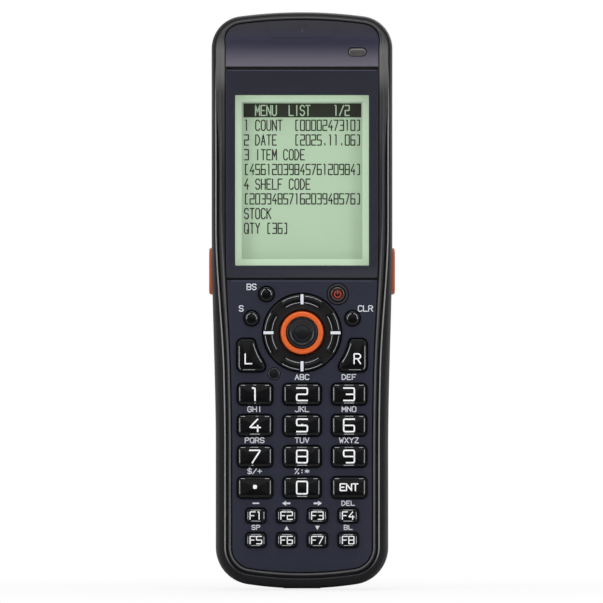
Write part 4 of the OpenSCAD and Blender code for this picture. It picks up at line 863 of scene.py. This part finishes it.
pit = [[1.33, 0.78], [1.33, 0.3], [1.2, 0.34], [0.8, 0.4], [0.1, 0.42]]

addPiece("cursor_disc", [turnedRing(disc, 0, cursorZ, 128)], "cursor_ring", "cursor_black",
    replaces=["cursor_ring"])
addPiece("cursor_pads", [arcPad(m) for m in quarters], "cursor_ring", "cursor_black", "cursor_pad")
addPiece("cursor_ticks", [strokeBar(arc(np.array([8.55, 10.85]), 0, cursorZ, math.radians(m)), 0.84, -1.03, -0.8)
        for m in quarters], "cursor_ring", None, "label_white")
# painted glints along both edges of each pad
addPiece("cursor_painted_glints", [glint(arc(r, 0, cursorZ, np.radians(m + np.linspace(*ends, 12))), -1.0, 0.13)
        for m in quarters for r in (8.72, 10.62) for ends in ((-32, -5), (5, 32))],
    "cursor_ring", "cursor_black", "key_painted_glint")
addPiece("centre_orange", [turnedRing(ring, 0, cursorZ, 128)], "centre_key", "orange", replaces=["centre_ring"])
addPiece("centre_dish", [fanned(turned(dish, 0, cursorZ))], "centre_key", "cursor_black", "centre_cap",
    ["centre_cap"])
addPiece("panel_collars", [turnedRing(collar, *roundAt["power_key"], 64), turnedRing(port, *portAt, 48),
        peg(*portAt, 0.8, 1.4, 1.36)], "case", "panel_navy", "ring_grey", ["panel_rings"])
# a black cup in the port stands for the shade in the hole
addPiece("port_shade_pit", [fanned(turned(pit, *portAt, 40))], "case", "panel_navy", "port_painted_shade")

# words on the panel

labelRows = {61.25: ("", "ABC", "DEF"), 51.95: ("GHI", "JKL", "MNO"), 42.95: ("PQRS", "TUV", "WXYZ"),
    34.0: ("$/+", "%:*", "")}
arrowZ, upDownZ = 24.72, 17.6
labels = []
for row, words in labelRows.items():
    for x, word in zip((-13.7, 0, 13.6), words):
        labels += writing(word, x, row, 1.45, 1.46, 0.25, 0.0, 0.1)
for word, x, z in (("DEL", 13.35, 24.75), ("SP", -13.35, 17.75), ("BL", 13.35, 17.75)):
    labels += writing(word, x, z, 1.25, 1.35, 0.24, 0.0, 0.1, 0.72)
labels.append(strokeBar([[-14.2, arrowZ], [-12.5, arrowZ]], 0.4, -0.03, 0.05))
for s in (-1, 1):  # the arrows to the sides over F2 and F3, and the ones up and down over F6 and F7
    x = functionAt[1 if s < 0 else 2][0]
    labels += [wedge([x + 1.3 * s, arrowZ], [x + 0.15 * s, arrowZ], 0.72),
        strokeBar([[x - 0.9 * s, arrowZ], [x + 0.3 * s, arrowZ]], 0.5, -0.03, 0.05),
        wedge([x, upDownZ - 0.62 * s], [x, upDownZ + 0.62 * s], 0.68)]
for word, x, z in (("BS", -14.6, 87.35), ("S", -17.6, 81.1), ("CLR", 18.35, 81.1)):
    labels += writing(word, x, z, 1.6, 1.5, 0.26, 0.0, 0.1, 0.76)
addPiece("panel_words", labels, "case", None, "label_white")

# the top panel's fine moulded outline, with its short notch, and its pip
mark = {"top": 10.85, "bottom": 8.7, "high": 164.25, "low": 159.45, "notch": 0.75, "notchFoot": 162.2}
high = mark["high"] - 0.35
lines = [easeCorners(np.array([[-mark["top"], high], [-mark["bottom"], mark["low"]], [mark["bottom"], mark["low"]],
        [mark["top"], high]]), 0.9)]
lines += [np.array([[x, mark["high"] + 0.2], [x, mark["notchFoot"]]]) for x in (-mark["notch"], mark["notch"])]
lines = [np.stack([np.interp(np.linspace(0, len(p) - 1, 40), np.arange(len(p)), q) for q in p.T], 1)
    for p in lines]
# the outline's dark colour is painted shade of its groove
topMarks = (("top_outline", [strokeBar(p, 0.14, -0.02, 0.1) for p in lines], "groove_painted_shade"),
    ("top_pip", [fanned(turned([[0.26, 0.1], [0.26, -0.04], [0.18, -0.08], [0.03, -0.09]], 0, 161.5, 20))],
        "ring_grey"))
for name, parts, look in topMarks:
    made = newObject(name, parts)
    bend(made, 2)
    finishPiece(made, "case", "panel_top", look)
print("legends made")

# display

display = {"pitch": 1.622, "line": 4.262, "height": 2.95, "barHeight": 2.9, "stroke": 0.33, "left": -16.9,
    "top": 134.15, "face": 4.38, "barFace": 4.33}
screenLines = ["MENU  LIST    1/2", "1 COUNT  [0000247310]", "2 DATE   [2025.11.06]", "3 ITEM CODE",
    "[4561203984576120984]", "4 SHELF CODE", "[2039485716203948576]", "STOCK", "QTY [36]"]


def frameStrip(x, z0, z1, t, d0, d1):
    outer, inner = ([[-a, z0 + g], [a, z0 + g], [a, z1 - g], [-a, z1 - g]] for a, g in ((x, 0), (x - t, t)))
    rows = [flat(outer, d1), flat(outer, d0), flat(inner, d1 - 0.02), flat(inner, d1)]
    return loft(rows + rows[:1], False, False)


addPiece("lcd_cell", [box(-20.5, 20.5, 6.2, 4.4, 91.5, 145.6)], "case", "lcd_green", replaces=["lcd_panel"])
addPiece("lcd_border", [frameStrip(19.5, 93.4, 143.0, 2.0, 3.6, display["face"])], "case", "lcd_green", "lcd_edge")
addPiece("lcd_bar", [box(-16.95, 17.15, display["barFace"], 4.395, 136.45, 140.5)], "case", "lcd_green", "lcd_ink")
addPiece("lcd_bar_words", writing(screenLines[0], 0.1, 138.45, display["barHeight"], display["pitch"],
        display["stroke"], display["barFace"], 0.12, 0.72), "case", "lcd_green")
inked = []
for k, words in enumerate(screenLines[1:]):
    middle = display["left"] + (len(words) - 1) / 2 * display["pitch"] + display["pitch"] / 2
    inked += writing(words, middle, display["top"] - k * display["line"], display["height"], display["pitch"],
        display["stroke"], display["face"], 0.12, 0.7)
addPiece("lcd_words", inked, "case", "lcd_green", "lcd_ink")
print("display made")

# triggers, battery cover and lock

triggerStyle = {"length": 13.6, "width": 7.0, "radius": 3.25, "top": 26.95, "flange": 1.1, "flangeThick": 1.4}


def triggerCap(side, s=triggerStyle):
    base = float(halfWidth(triggerAt[1] - s["length"] / 2)) - 2.2
    crown = ((0.62, 0.0), (0.34, -0.1), (0.12, -0.3), (0.02, -0.62), (0, -1.0), (0.03, -1.8), (0.1, -2.6))
    rows = []
    for x, g in [(base - s["flangeThick"], s["flange"]), (base, s["flange"]), (base, 0.0)] + [
            (s["top"] - sunk, g) for sunk, g in crown]:
        r = s["radius"] + g if g <= 0 else s["width"] / 2
        outline = rounded(s["width"] + 2 * g, s["length"] + 2 * g, max(r, 0.4), *triggerAt, 14)
        rows.append(sideRow(side * x, outline))
    return fanned(rows)


for side, node in ((-1, "trigger_left"), (1, "trigger_right")):
    # the trigger pads take the orange in painted shade
    addPiece(node + "_pad", [triggerCap(side)], node, "orange", "trigger_orange_painted_shade", [node])

coverStyle = {"half": 19.5, "front": 22.9, "barrel": 16.6, "ribs": 5, "ribLength": 13, "ribAt": 38.2, "ribPitch": 2.1}


def coverBack(x):  # the back's depth across the cover, following its rounded edge
    t = np.maximum(0, np.abs(x) - 16.6) / 8.4
    return body["gripDepth"] - 7.14 * (1 - np.sqrt(1 - t * t))


def coverRows(s=coverStyle):
    x = np.linspace(-1, 1, 61)
    x = np.sign(x) * (1 - (1 - np.abs(x)) ** 1.4) * s["half"]
    rows = []
    for z, g in ((18.6, 0.22), (18.68, 0.07), (18.82, 0.0), (hinge[1], 0.0)):
        low = s["half"] - g * 0.5
        inside = [[low, s["front"]], [-low, s["front"]]]
        line = np.concatenate([np.stack([x * (1 - g * 0.02), coverBack(x) - g], 1), inside])
        rows.append(np.insert(line + np.array([0, body["frontY"]]), 2, z, axis=1))
    return rows


s = coverStyle
cover = newObject("battery_door", [loft(coverRows())])
carve(cover, [crossPeg(*hinge, -s["barrel"], s["barrel"], 1.7, 64),
        crossPeg(*hinge, -s["half"], s["half"], float(coverBack(s["half"])) - hinge[0], 48),
        crossPeg(*hinge, -20.7, 20.7, 0.8, 32)], "UNION")
carve(cover, [box(-6, 6, 23.7, 25.5, 20.8, 31.2), box(-2.8, 2.8, 21.9, 25.5, 22.0, 30.0)]
    + [slab(rounded(s["ribLength"] - k * 1.1, 0.8, 0.39, 0, s["ribAt"] + k * s["ribPitch"], 8), 24.15, 25.5)
        for k in range(s["ribs"])])
finishPiece(cover, "battery_cover", "case_dark", "cover_dark", ["battery_cover"], 30)
addPiece("cover_slide", [box(-4.5, 4.5, 22.0, 22.5, 19.3, 29.7), box(-2.5, 2.5, 22.1, 24.0, 24.7, 29.7),
        stepped(pill(9, 7, 0.9, 0, 27.2, 8), ((0, 23.85), (0, 24.15), (-0.15, 24.38)))]
    + [crossPeg(24.35, 24.9 + 1.15 * k, -3.6, 3.6, 0.34, 20) for k in range(5)],
    "cover_lock", "case_dark", "lock_grey", ["cover_lock"], 40)
print("triggers and cover made")

# nodes kept from the model, by the look each takes
kept = {"inner_plastic": ["lcd_frame", "scan_engine"], "light_guide": ["backlight"],
    "silicone": ["keymat", "cursor_cushion"], "circuit_board": ["keypad_board", "main_board"],
    "chip_black": ["board_chips", "speaker"], "mirror_face": ["scan_mirror"],
    "red_window": ["scan_window", "ir_window"], "steel": ["vibration_motor", "case_screws"],
    "cell_blue": ["battery_pack"], "gold": ["battery_contacts", "charge_contacts"], "seal_rubber": ["case_seal"],
    "case_dark": ["strap_anchor"]}
for look, names in kept.items():
    for name in names:
        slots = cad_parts[name].data.materials
        for i in range(len(slots)):
            slots[i] = finish[look]
        if not len(slots):
            slots.append(finish[look])

# floor, light and camera

stage = {"floor": 2.4, "under": -0.0004, "paper": 0.86, "near": 0.03, "far": 0.2, "nearShare": 0.82,
    "ambient": 0.42, "card": 0.1}


def nodeMath(tree, operation, a, b):
    made = tree.nodes.new("ShaderNodeMath")
    made.operation, made.use_clamp = operation, operation == "MAXIMUM"
    tree.links.new(a, made.inputs[0])
    tree.links.new(b, made.inputs[1])
    return made.outputs[0]


def nodeRange(tree, value, lo, hi, toLo, toHi, kind="SMOOTHSTEP"):
    made = tree.nodes.new("ShaderNodeMapRange")
    made.interpolation_type = kind
    for key, v in (("From Min", lo), ("From Max", hi), ("To Min", toLo), ("To Max", toHi)):
        made.inputs[key].default_value = v
    tree.links.new(value, made.inputs["Value"])
    return made.outputs[0]


def mixInto(tree, share, first, second, end):
    mix = tree.nodes.new("ShaderNodeMixShader")
    for source, socket in zip((share, first, second), mix.inputs):
        tree.links.new(source, socket)
    tree.links.new(mix.outputs[0], tree.nodes[end].inputs["Surface"])


disk = np.insert(arc(stage["floor"], 0, 0, fullTurn(64)), 2, stage["under"], axis=1)
floorMesh = bpy.data.meshes.new("floor")
floorMesh.from_pydata(disk.tolist(), [], [list(range(64))])
floor = bpy.data.objects.new("floor", floorMesh)
bpy.context.scene.collection.objects.link(floor)
paper = bpy.data.materials.new("floor_paper")
paper.use_nodes = True
tree = paper.node_tree
tree.nodes["Principled BSDF"].inputs["Base Color"].default_value = [stage["paper"]] * 3 + [1]
tree.nodes["Principled BSDF"].inputs["Roughness"].default_value = 0.9
spot, away, seen, glow = (tree.nodes.new("ShaderNode" + kind) for kind in (
        "TexCoord", "VectorMath", "LightPath", "Emission"))
away.operation = "LENGTH"
tree.links.new(spot.outputs["Object"], away.inputs[0])
# plain white away from the object, a light shadow kept near it
spread = nodeRange(tree, away.outputs["Value"], stage["near"], stage["far"], stage["nearShare"], 1.0, "LINEAR")
mixInto(tree, nodeMath(tree, "MULTIPLY", seen.outputs["Is Camera Ray"], spread),
    tree.nodes["Principled BSDF"].outputs[0], glow.outputs[0], "Material Output")
floorMesh.materials.append(paper)

world = bpy.data.worlds.new("studio")
bpy.context.scene.world = world
world.use_nodes = True
tree = world.node_tree
room = tree.nodes["Background"]
room.inputs["Color"].default_value = (1, 1, 1, 1)
room.inputs["Strength"].default_value = stage["ambient"]
white, path, place, split, tone = (tree.nodes.new("ShaderNode" + kind) for kind in (
        "Background", "LightPath", "TexCoord", "SeparateXYZ", "CombineColor"))
white.inputs["Strength"].default_value = 1
tree.links.new(place.outputs["Generated"], split.inputs[0])
# a dark card stands before the object for reflections, open above; what the camera sees is plain white
front = nodeRange(tree, split.outputs["Y"], -0.93, -0.45, 1.0, 0.0)
above = nodeRange(tree, split.outputs["Z"], 0.45, 0.8, 1.0, 0.3)
card = nodeRange(tree, nodeMath(tree, "MULTIPLY", front, above), 0.0, 1.0, 1.0, stage["card"])
shade = nodeMath(tree, "MAXIMUM", card, path.outputs["Is Camera Ray"])
for socket in tone.inputs[:3]:
    tree.links.new(shade, socket)
tree.links.new(tone.outputs[0], white.inputs["Color"])
direct = nodeMath(tree, "MAXIMUM", path.outputs["Is Camera Ray"], path.outputs["Is Glossy Ray"])
direct = nodeMath(tree, "MAXIMUM", direct, path.outputs["Is Transmission Ray"])
mixInto(tree, direct, room.outputs[0], white.outputs[0], "World Output")

for name, place, aimZ, size, watts in (
        ("lamp_left", (-0.75, -0.6, 0.25), 0.085, (0.2, 0.9), 2.6),
        ("lamp_right", (0.75, -0.6, 0.25), 0.085, (0.2, 0.9), 2.3),
        ("lamp_top", (0, -0.4, 0.95), 0.1, (0.9, 0.3), 3.0), ("lamp_back", (0.3, 0.85, 0.6), 0.08, (0.8, 0.8), 3.6)):
    lamp = bpy.data.lights.new(name, "AREA")
    lamp.shape, lamp.size, lamp.size_y, lamp.energy = "RECTANGLE", size[0], size[1], watts
    made = bpy.data.objects.new(name, lamp)
    bpy.context.scene.collection.objects.link(made)
    made.location = place
    made.rotation_euler = (Vector((0, 0, aimZ)) - Vector(place)).to_track_quat("-Z", "Y").to_euler()
    made.visible_camera = False

camera = bpy.data.cameras.new("camera")
cameraObject = bpy.data.objects.new("camera", camera)
bpy.context.scene.collection.objects.link(cameraObject)
cameraObject.location = (-0.00015, -4.008, 0.08311)
cameraObject.rotation_euler = (math.pi / 2, 0, 0)
camera.sensor_width = 36
camera.lens = camera.sensor_width * 4.0 / 0.17475
camera.clip_start, camera.clip_end = 0.1, 30
bpy.context.scene.camera = cameraObject
bpy.context.scene.view_settings.view_transform = "Standard"
